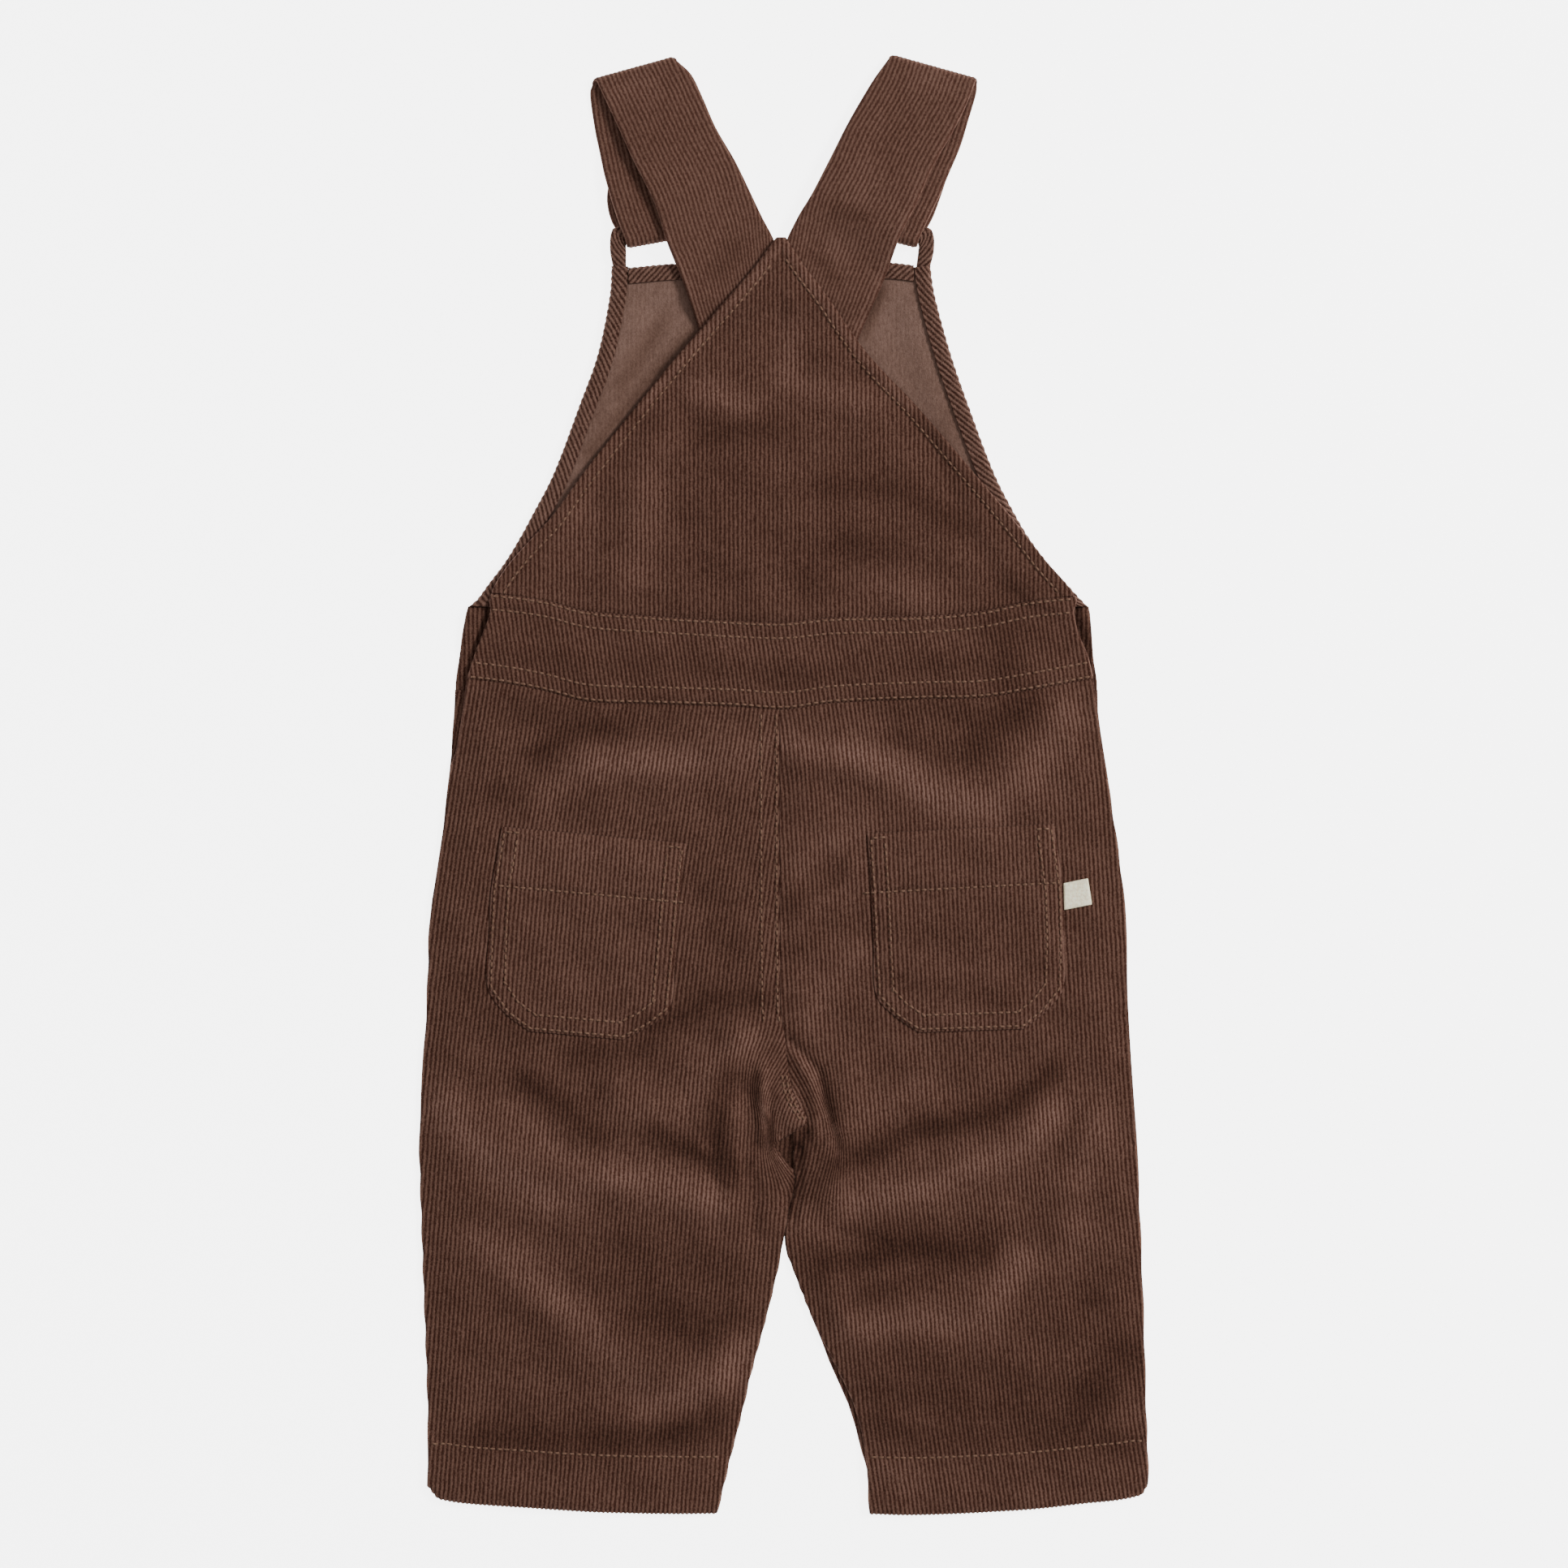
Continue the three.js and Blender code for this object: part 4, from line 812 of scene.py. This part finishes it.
def back_rest(x, y):
    """Underside of the back layer: close over the front layer at its edges, eased up inside them with
    the folds, dipping along the centre seam, and lying over the side bindings and strap ends. From
    the waist up its edges curl off the front layer, less so over the straps."""
    side = from_side(x, y, BACK_LEFT, BACK_RIGHT)
    below = ease((CROTCH + 6 - y) / 14)
    inseam = np.where(x < 0, inner(3)(y) - x, x - inner(4)(y))
    inside = ease((side + (np.minimum(side, inseam) - side) * below) / 14)
    seam = np.exp(-(((x - inner(3)(np.maximum(y, CROTCH))) / 5) ** 2)) * ease((34 - y) / 8)
    on_hem = ease((hem(x) + HEM_DEPTH + 9 - y) / 8)
    base = CLOTH + GAP + (HEM_CLOTH - CLOTH) * on_hem + bib_rest(x, y) * ease((y - 66) / 7)
    lift = PUFF + folds(x, y) + ripples(x, y) - SEAM_DIP * seam * (1 - below)
    curl = EDGE_CURL * np.exp(-((side / 5) ** 2)) * ease((y - 20) / 30) * (1 - 0.7 * ease((y - 180) / 12))
    soft = base + np.maximum(lift, 0.05) * inside + curl
    on_binding = ease((BINDING_WIDTH + 13 - from_side(x, y, FRONT_LEFT, FRONT_RIGHT)) / 10) * ease((y - 62) / 8)
    strap = strap_middle(y + 2) + STRAP_CLOTH / 2 + GAP + 0.3
    on_strap = ease((28 - side) / 16) * ease((y - 164) / 9)
    over_binding = soft + (BINDING_HEIGHT + GAP - soft) * on_binding
    return np.maximum(soft, np.maximum(over_binding, soft + (strap - soft) * on_strap))


def upper_seam(x):
    """y of the seam over the back waistband."""
    return smooth(x, WAIST, 1)


def lower_seam(x):
    """y of the seam under the back waistband."""
    return smooth(x, WAIST, 2)


up = np.linspace(76.8, PEAK, 400)
ROOF = np.concatenate([
    np.stack([edge(BACK_LEFT)(up), up], -1), np.stack([edge(BACK_RIGHT)(up), up], -1)[::-1]])


def roof(x):
    """The back bib's two slanted edges as one function of x."""
    return np.interp(x, ROOF[:, 0], ROOF[:, 1])


# Width and amount, then x and y along each stroke of painted light and shade: the pile's sheen
# over the folds, painted shadow in the crotch's recesses and painted highlights along the bib's
# slanted edges, from the bib down and last round the crotch
back_shading_strokes = strokes(
    (5.6, 0.61, -39, 163, -12, 154), (5.6, 0.55, 3, 187, 3, 166), (5.6, 0.55, 7, 163, 31, 156),
    (7, -0.43, -34, 141, -8, 148), (8.4, 0.37, -55, 133, -61, 86), (8.4, 0.24, -82, 119, -86, 88),
    (20, -0.18, -30, 127, -30, 88), (5.6, -0.55, 18, 122, 50, 121, 72, 106),
    (8.4, -0.37, 9, 86, 25, 98, 45, 97), (7, 0.37, 39, 83, 61, 75), (11.2, -0.37, 92, 75, 92, 38),
    (5.6, -0.24, -105, 52, -5, 45, 78, 50), (5.6, -0.61, -101, 13, -86, 22, -69, 22),
    (7, 0.55, -97, -6, -80, 10), (7, 0.98, -80, 8, -39, 10), (7, 0.55, -39, 8, -10, 13),
    (7, 0.55, 3, 17, 22, 13), (7, 1.04, 25, 13, 47, 6, 64, -7, 86, -9),
    (8.4, 0.61, 89, -7, 105, 8, 117, 30), (8.4, -0.61, 78, 13, 89, 27, 100, 33),
    (7, -0.37, 50, 19, 72, 12), (5.6, 0.49, 6, -35, 18, -23, 34, -17), (5.6, -0.37, 3, -50, 22, -37),
    (5.6, 0.3, 25, -48, 31, -34), (5.6, -0.3, 3, -70, 20, -56), (7, 0.43, 10, -95, 18, -81, 31, -70),
    (7, -0.24, -116, -3, -78, -6), (6.3, -0.61, -55, -99, -30, -89, -12, -89),
    (5.6, -0.43, -86, -112, -55, -106), (6.3, 0.61, -39, -131, -28, -114, -14, -106),
    (5.6, 0.49, -69, -133, -43, -139), (5.6, -0.55, -106, -122, -75, -145),
    (5.6, 0.43, -111, -134, -86, -156), (7.7, 0.98, -140, -134, -119, -156, -97, -170),
    (8.4, 0.73, -86, -167, -69, -162, -28, -173), (5.6, -0.61, -53, -142, -22, -159),
    (5.6, -0.55, -23, -117, -29, -139, -22, -162), (14, -0.3, -69, -198, -28, -200),
    (11.2, -0.55, -61, -220, -25, -223), (8.4, 0.55, -125, -189, -100, -206, -69, -234, -53, -253),
    (7.7, 0.79, -56, -256, -28, -245, -18, -231), (7, -0.67, -30, -263, -69, -270, -122, -267),
    (7, 0.05, -136, -281, -33, -285), (7, 0.43, 34, -134, 59, -123),
    (5.6, -0.67, 21, -157, 56, -142, 89, -134, 111, -118),
    (7, 0.79, 28, -172, 56, -167, 100, -148, 111, -134), (5.6, 0.43, 9, -179, 28, -190),
    (8.4, -0.73, 18, -196, 50, -189, 81, -192), (7, -0.49, 34, -209, 61, -202),
    (7.7, 0.73, 27, -224, 56, -220, 81, -220, 97, -196), (7, 0.43, 129, -139, 120, -162),
    (7, 0.37, 120, -181, 118, -192), (16, -0.37, 45, -245, 122, -256), (11.2, -0.61, 117, -262, 139, -234),
    (7, -0.43, 39, -262, 56, -267, 139, -270), (5.6, 0.43, 42, -281, 56, -287),
    (8.4, -0.37, 125, -212, 139, -203), (9, 0.24, -111, -28, -50, -31), (9, -0.24, 47, -59, 100, -62),
    (5.6, -0.24, 45, -81, 89, -89, 103, -73), (11.2, 0.24, 14, -23, 14, -112),
    (10, 0.24, -128, -150, -39, -167), (10, 0.18, 34, -162, 111, -162), (11.2, -0.24, -105, 30, -44, 27),
    (11.2, -0.3, 56, 30, 89, 27), (10, -0.18, -133, -89, -100, -106), (9, -0.24, 100, -212, 136, -223),
    (7, 0.24, 114, 38, 114, 0), (10, -0.18, -28, -39, -22, -78), (3, -0.9, 4.8, -151.8, 7.2, -144.2),
    (2, -0.8, 1.8, -177, 4.2, -163), (1.2, -0.9, -5.6, -147.1, -6.4, -136.9),
    (1.2, -0.9, 0.6, -153.5, -4.6, -149.5), (1.2, -0.8, 4.2, -162.3, 1.8, -157.7),
    (1.0, 0.6, -3.4, -150.6, 0.4, -155.4, 3.0, -159.5),
    (1.6, 0.5, -8.5, -140, -8.5, -124), (6, 0.5, 0.8, -138.3, -0.8, -135.7),
    (1.5, 0.45, 8, -134.5, 4, -125.5), (4, -0.3, -15, -174, -15, -156),
    (1.4, -0.35, 20.2, -138.8, 13.8, -121.2), (2.2, 0.6, -2, 220, -20, 198.5, -41.2, 174.5, -57.8, 154.5),
    (2.2, 0.5, 0, 221, 15.4, 198.5, 32.4, 174.5, 51.4, 154.5),
    (0.9, 0.6, 8.6, -138.0, 3.6, -141.2, -2.5, -145.4), (1.2, -0.8, 7, -143, 5.5, -158),
)


def back_painted_shading(x, y):
    """The painted light and shade of the strokes, and painted shade from the folds' slope: where a fold
    rises towards the upper right its pile turns from the light and is painted darker, in proportion to
    the rise over 2 mm."""
    def fold(x, y):
        return folds(x, y) + ripples(x, y)
    rise = 0.75 * (fold(x + 1, y) - fold(x - 1, y)) + 0.65 * (fold(x, y + 1) - fold(x, y - 1))
    return back_shading_strokes(x, y) - np.clip(0.45 * rise, -0.4, 0.4)


HALF_GAP = GAP / 2
BIB_HEM = 4.6


def bib_cloth(x, y):
    """Two layers in the slanted edges' turned hem, drawn in along its row of stitches."""
    side = from_side(x, y, BACK_LEFT, BACK_RIGHT)
    return CLOTH + 0.6 * ease((BIB_HEM + 0.8 - side) / 1.6) - 0.3 * np.exp(-(((side - BIB_HEM) / 1.1) ** 2))


finish_piece(
    cord_panel("cloth_back_bib", (-122, 121), rows_of(34, *np.arange(0.84, 1, 0.01)),
               lambda x: upper_seam(x) + HALF_GAP + 0.1, roof, level(-119.4), level(118.3), back_rest,
               bib_cloth, back_painted_shading),
    corduroy, "back_bib")

# Back waistband
# Two layers of the cloth between the back bib and the back legs, stitched in two rows over each
# seam, so that it stands puffed between the rows.

UPPER_ROW, LOWER_ROW = 6.5, 6.9


def waist_cloth(x, y):
    """Two layers, swelling between the rows of stitches as the parts of a sine."""
    between_rows = upper_seam(x) - lower_seam(x) - UPPER_ROW - LOWER_ROW
    middle = np.clip((y - lower_seam(x) - LOWER_ROW) / between_rows, 0, 1)
    below = np.clip((y - lower_seam(x) - 1) / (LOWER_ROW - 1), 0, 1)
    above = np.clip((upper_seam(x) - 1 - y) / (UPPER_ROW - 1), 0, 1)
    return 1.6 + 0.7 * np.sin(np.pi * middle) + 0.35 * (np.sin(np.pi * below) + np.sin(np.pi * above))


WAIST_LEAN = math.tan(math.radians(-8.5))
finish_piece(
    cord_panel("cloth_back_waistband", (-136, 134), rows_of(29), lambda x: lower_seam(x) + HALF_GAP,
               lambda x: upper_seam(x) - HALF_GAP, edge(BACK_LEFT), edge(BACK_RIGHT), back_rest, waist_cloth,
               back_painted_shading, warp=lambda s, y: WAIST_LEAN * (y - 53)),
    corduroy, "back_waistband")

# Back legs
# Two panels of the cloth with the seat, joined by the centre seam down to the crotch, where their
# wales are pushed apart and the left one laps over the right. Hems are turned up and stitched.


# y, then x of the lines beside the crotch along which the left and right leg's wales crowd together
CROWD = np.array([
    (-187, 2, 16), (-165, 2, 17), (-147, 3.5, 16.7), (-139, 3, 13.7), (-128, -3, 11.6), (-118, -8, 11.9),
    (-111, -11, 7.3), (-100, -12, 1),
])


# For the left leg, -1, and the right one, 1: the wales' lean, the crowding line's column, the furthest move,
# how sharply it sets in, the y where it starts and its fade, and the y where it ends and its fade
PUSH = {
    -1: (LEFT_LEAN, 1, 20, 0.085, -97, 46, -172, 27),
    1: (RIGHT_LEAN, 2, 12, 0.13, -103, 36, -187, 46),
}


def crotch_push(s, y, side):
    """Wales beside the crotch move away from it, most at its patch and fading out above and below.
    Sideways the move falls off as a hyperbolic tangent about the crowding line."""
    lean, column, furthest, sharp, top, top_fade, foot, foot_fade = PUSH[side]
    near = s + lean(y) - smooth(y, CROWD, column)
    share = ease((top - y) / top_fade) * ease((y - foot) / foot_fade)
    return side * furthest * share * (0.5 - 0.5 * side * np.tanh(sharp * near))


LEG_STEPS = 122
hem_rows = HEM_FOLD + np.array([-0.006, -0.003, 0, 0.003, 0.006])
crotch_rows = (np.arange(49, 67) + 0.5) / LEG_STEPS
leg_rows = rows_of(LEG_STEPS, 0.006, *hem_rows, *crotch_rows)


def leg_cloth(x, y):
    """The hemmed thickness, drawn in along the hem's row of stitches."""
    return hemmed(x, y) - 0.35 * np.exp(-(((y - hem(x) - HEM_DEPTH) / 1.3) ** 2))


def lapped_cloth(x, y):
    """The left leg's thickness, swelling where its seam laps over the right leg at the crotch."""
    return leg_cloth(x, y) + 1.1 * np.exp(-(((x - 4.5) / 5) ** 2) - ((y + 133) / 9) ** 2)


finish_piece(
    cord_panel("cloth_back_leg_left", (-190, 20), leg_rows, hem, lambda x: lower_seam(x) - HALF_GAP,
               edge(BACK_LEFT), inner(3), back_rest, lapped_cloth, back_painted_shading,
               warp=lambda s, y: LEFT_LEAN(y) + crotch_push(s, y, -1), saw=0.45),
    corduroy, "back_leg_left")
finish_piece(
    cord_panel("cloth_back_leg_right", (-30, 190), leg_rows, hem, lambda x: lower_seam(x) - HALF_GAP,
               inner(4), edge(BACK_RIGHT), back_rest, leg_cloth, back_painted_shading,
               warp=lambda s, y: RIGHT_LEAN(y) + crotch_push(s, y, 1), saw=0.45),
    corduroy, "back_leg_right")

# Back pockets
# Two patches of the cloth with cut-off lower corners and a deep hem at the opening, each sewn down
# by two rows of stitches along its sides and foot.

POCKET_HEM = 24.0

# x and y of the two sides from the bottom corner up, for each pocket
POCKETS = {
    "left": (
        np.array([(-104.3, -101.2), (-114, -94), (-121.2, -83.5), (-120.6, -60), (-119.8, -44), (-115.4, -17.8)]),
        np.array([(-66, -104.6), (-56, -99.6), (-47.4, -93), (-45, -70), (-43, -46), (-40.4, -24.6)]),
    ),
    "right": (
        np.array([(55.3, -101.6), (46, -95.4), (38.2, -87), (37, -66), (36, -43), (34.4, -20.6)]),
        np.array([(98.3, -100.2), (107, -93.2), (114.1, -84), (114.6, -64), (114.1, -44), (110.4, -16.6)]),
    ),
}


def line_through(a, b):
    """Straight line through two corners as a function of x."""
    return lambda x: a[1] + (b[1] - a[1]) * (x - a[0]) / (b[0] - a[0])


def on_leg(x, y):
    """Underside of what is sewn onto a back leg: just over its one layer."""
    return back_rest(x, y) + CLOTH + 0.05


POCKET_LEAN = {"left": math.tan(math.radians(5)), "right": math.tan(math.radians(-2.5))}
pocket_tops = {}
for side, (port, starboard) in POCKETS.items():
    mouth = line_through(port[-1], starboard[-1])
    sides = [lambda y, t=t: smooth(y, t[:, ::-1]) for t in (port, starboard)]

    def pocket_cloth(x, y, mouth=mouth, foot=line_through(port[0], starboard[0]), sides=sides):
        """One layer, two in the hem, drawn in along the hem's stitches and pressed thin at the edges."""
        fold = y - mouth(x) + POCKET_HEM
        beside = np.minimum(x - sides[0](y), sides[1](y) - x)
        deep = np.minimum(beside, np.minimum(y - foot(x), mouth(x) - y + 2))
        body = CLOTH + (HEM_CLOTH - CLOTH) * ease(fold / 2) - 0.3 * np.exp(-((fold / 1.2) ** 2))
        return body * (0.45 + 0.55 * ease(deep / 4))

    def pocket_painted_shading(x, y, sides=sides):
        """The back's painted light and shade, a little lighter, with a painted highlight along the side edges."""
        beside = np.minimum(x - sides[0](y), sides[1](y) - x)
        return back_painted_shading(x, y) + 0.12 + 0.3 * np.exp(-((beside / 1.2) ** 2))

    pocket_tops[side] = pocket_cloth
    finish_piece(
        cord_panel(f"cloth_back_pocket_{side}", (-140, 135), rows_of(40, 0.7125, 0.7375),
                   line_through(port[0], starboard[0]), mouth, *sides, on_leg, pocket_cloth, pocket_painted_shading,
                   warp=lambda s, y, lean=POCKET_LEAN[side]: lean * (y + 60), saw=0.1),
        corduroy, f"back_pocket_{side}")

# Tab
# A small tag of cream tape, folded and caught in the right pocket's outer seam.

TAB_CLOTH = 1.0

# x and y of the corners: lower left, lower right, upper right, upper left
TAB = np.array([(115.1, -51.4), (126, -49.2), (124.4, -38.9), (114.8, -40.9)])
tape = cloth_material("tab_weave", groove=linear(252, 240, 200), ridge=linear(255, 250, 222),
                      cords=0.3, gain=0.2, sheen=0.1)
finish_piece(
    cord_panel("cloth_label_tab", (112, 128), rows_of(16),
               line_through(TAB[0], TAB[1]), line_through(TAB[3], TAB[2]),
               lambda y: np.interp(y, TAB[[0, 3], 1], TAB[[0, 3], 0]),
               lambda y: np.interp(y, TAB[[1, 2], 1], TAB[[1, 2], 0]),
               on_leg, lambda x, y: 0 * x + TAB_CLOTH, no_painted_shading, step=0.5, relief=0.0),
    tape, "label_tab")

# Stitching
# Brown cotton topstitches of 3 mm, their ends drawn down into the cloth: along each side of the
# waistband's seams, round the pockets, over the hems, along the bib's edges, beside the centre seam
# and at the crotch.

STITCH, SPACING = 2.3, 2.95
SPINDLE = np.array([
    (-0.5, 0.14, -0.5), (-0.36, 0.4, -0.05), (0.0, 0.48, 0.05), (0.36, 0.4, -0.05), (0.5, 0.14, -0.5),
])


def stitch_run(points, surface):
    """Places of one row's stitches along a line: middle x, y, z and the run's direction."""
    points = np.asarray(points, float)
    far = np.concatenate([[0], np.cumsum(np.hypot(*np.diff(points, axis=0).T))])
    at = np.arange(SPACING / 2, far[-1], SPACING)
    middle = [np.interp(at, far, points[:, k]) for k in (0, 1)]
    ahead = [np.interp(at + 0.5, far, points[:, k]) - np.interp(at - 0.5, far, points[:, k]) for k in (0, 1)]
    return np.stack([*middle, surface(*middle), *(ahead / np.hypot(*ahead))], -1)


def sew(name, runs, thread):
    """One mesh of all a row set's stitches. A stitch is a spindle of six sides, and each row of the
    table is one of its rings: the place along it, its radius and its height over the cloth."""
    places = np.concatenate(runs)
    length, radius, drop = SPINDLE.T
    sides, rings = 6, len(SPINDLE)
    angle = np.radians(np.arange(0, 360, 60))
    along = np.repeat(length * STITCH, sides)
    beside = (radius[:, None] * np.cos(angle)).ravel()
    high = (radius[:, None] * np.sin(angle) + drop[:, None]).ravel()
    x, y, z, dx, dy = places.T[:, :, None]
    points = np.stack([x + along * dx - beside * dy, y + along * dy + beside * dx, z + high], -1)
    index = np.arange(rings * sides).reshape(rings, sides)
    walls = grid_cells(np.concatenate([index, index[:, :1]], axis=1))
    fan = np.stack([np.zeros(sides - 2, int), np.arange(1, sides - 1), np.arange(2, sides)], -1)
    one = np.concatenate([walls, fan[:, ::-1], fan + (rings - 1) * sides])
    triangles = (one[None] + index.size * np.arange(len(places))[:, None, None]).reshape(-1, 3)
    points = points.reshape(-1, 3)
    a, b, c = points[triangles[: len(one)]].transpose(1, 0, 2)
    if (a * np.cross(b, c)).sum() < 0:
        triangles = triangles[:, ::-1]
    plain_map = np.zeros((triangles.size, 2))
    made = solid_mesh(name, points, triangles, plain_map, plain_map, np.zeros(len(points)))
    made.data.uv_layers.remove(made.data.uv_layers["OFBake"])
    made.data.materials.append(thread)
    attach(made, "root")
    return made


def inset(points, distance):
    """A line moved to its left by a distance, point by point, square to its run."""
    points = np.asarray(points, float)
    run = np.gradient(points, axis=0)
    run /= np.hypot(*run.T)[:, None]
    return points + distance * np.stack([-run[:, 1], run[:, 0]], -1)


def over(rest, cloth):
    """Height of stitches that lie on a piece's upper face."""
    return lambda x, y: rest(x, y) + cloth(x, y) + 0.02


thread = cloth_material("brown_thread", groove=linear(94, 68, 54), ridge=linear(124, 96, 80),
                        cords=0.0, gain=0.3, sheen=0.1)
on_back = over(back_rest, one_layer)
on_bib = over(back_rest, bib_cloth)
on_waist = over(back_rest, waist_cloth)
left_roof, right_roof = ROOF[8:400:8], ROOF[400:-8:8]
sew("stitches_back_bib", [
    stitch_run(inset(left_roof, -BIB_HEM)[:-2], on_bib),
    stitch_run(inset(right_roof, -BIB_HEM)[2:], on_bib)], thread)
sew("stitches_waistband", [
    stitch_run(np.stack([across, seam(across) + off], -1), on_waist)
    for across, seam, off in (
        (np.linspace(-119.5, 118, 120), upper_seam, -1.0),
        (np.linspace(-120, 118.5, 120), upper_seam, -UPPER_ROW),
        (np.linspace(-129, 125.5, 120), lower_seam, 1.0),
        (np.linspace(-127, 124, 120), lower_seam, LOWER_ROW))], thread)
down = np.linspace(29, -97, 60)
sew("stitches_centre", [
    stitch_run(np.stack([inner(3)(down) - off, down], -1), on_back) for off in (1.0, 7.3)], thread)
crotch = np.linspace(-119, -137, 12)
sew("stitches_crotch", [
    stitch_run(np.stack([inner(3)(crotch) - off, crotch], -1), over(back_rest, lapped_cloth))
    for off in (1.1, 2.9)], thread)
left_hem, right_hem = np.linspace(-144.5, -26, 60), np.linspace(35.5, 147.5, 60)
sew("stitches_hems", [
    stitch_run(np.stack([x, hem(np.clip(x, -138, 142)) + HEM_DEPTH], -1), over(back_rest, leg_cloth))
    for x in (left_hem, right_hem)], thread)
for side, (port, starboard) in POCKETS.items():
    corners = np.concatenate([port[::-1], starboard])
    run = np.concatenate([[0], np.cumsum(np.hypot(*np.diff(corners, axis=0).T))])
    even = np.linspace(0, run[-1], 120)
    outline = np.stack([np.interp(even, run, corners[:, k]) for k in (0, 1)], -1)
    mouth = line_through(port[-1], starboard[-1])
    on_pocket = over(on_leg, pocket_tops[side])
    hem_x = np.linspace(port[-1][0] - 2, starboard[-1][0] + (0 if side == "left" else 2), 40)
    tacks = [np.linspace(end[-1][0] + 1.5 * way, end[-1][0] + 7.5 * way, 8)
             for end, way in ((port, 1), (starboard, -1))]
    sew(f"stitches_pocket_{side}", [
        stitch_run(inset(outline, 1.1)[1:-1], on_pocket), stitch_run(inset(outline, 6.8)[2:-2], on_pocket),
        stitch_run(np.stack([hem_x, mouth(hem_x) - POCKET_HEM], -1), on_pocket),
        *(stitch_run(np.stack([x, mouth(x) - 1.6], -1), on_pocket) for x in tacks)], thread)

# Floor, light and camera
# The garment lies on a sheet of pale paper under one soft lamp from the right and a wide, weak one
# overhead. The camera looks straight down from 1.79 m.

floor_mesh = bpy.data.meshes.new("floor")
floor_mesh.from_pydata([(-3, -3, 0), (3, -3, 0), (3, 3, 0), (-3, 3, 0)], [], [(0, 1, 2, 3)])
floor = bpy.data.objects.new("floor", floor_mesh)
bpy.context.scene.collection.objects.link(floor)
paper = bpy.data.materials.new("paper")
paper.use_nodes = True
shader = paper.node_tree.nodes["Principled BSDF"]
shader.inputs["Base Color"].default_value = (0.9, 0.9, 0.9, 1.0)
shader.inputs["Roughness"].default_value = 1.0
shader.inputs["Specular IOR Level"].default_value = 0.0
shader.inputs["Emission Color"].default_value = (1.0, 1.0, 1.0, 1.0)
shader.inputs["Emission Strength"].default_value = 5.0
floor_mesh.materials.append(paper)


def lamp(name, place, size, watts):
    """Square area light that faces the middle of the garment."""
    light = bpy.data.lights.new(name, "AREA")
    light.size = size
    light.energy = watts
    made = bpy.data.objects.new(name, light)
    made.location = place
    made.rotation_euler = Vector(place).to_track_quat("Z", "Y").to_euler()
    bpy.context.scene.collection.objects.link(made)


lamp("key", (2.6, 1.1, 2.4), 1.0, 145)
lamp("fill", (-0.3, 0.2, 2.6), 2.4, 18)
world = bpy.data.worlds.new("studio")
world.use_nodes = True
world.node_tree.nodes["Background"].inputs["Color"].default_value = (1.0, 1.0, 1.0, 1.0)
world.node_tree.nodes["Background"].inputs["Strength"].default_value = 0.36
bpy.context.scene.world = world

lens = bpy.data.cameras.new("camera")
lens.lens = 100.0
lens.sensor_width = 36.0
camera = bpy.data.objects.new("camera", lens)
camera.location = (0.0, 0.0, 1.79)
bpy.context.scene.collection.objects.link(camera)
bpy.context.scene.camera = camera
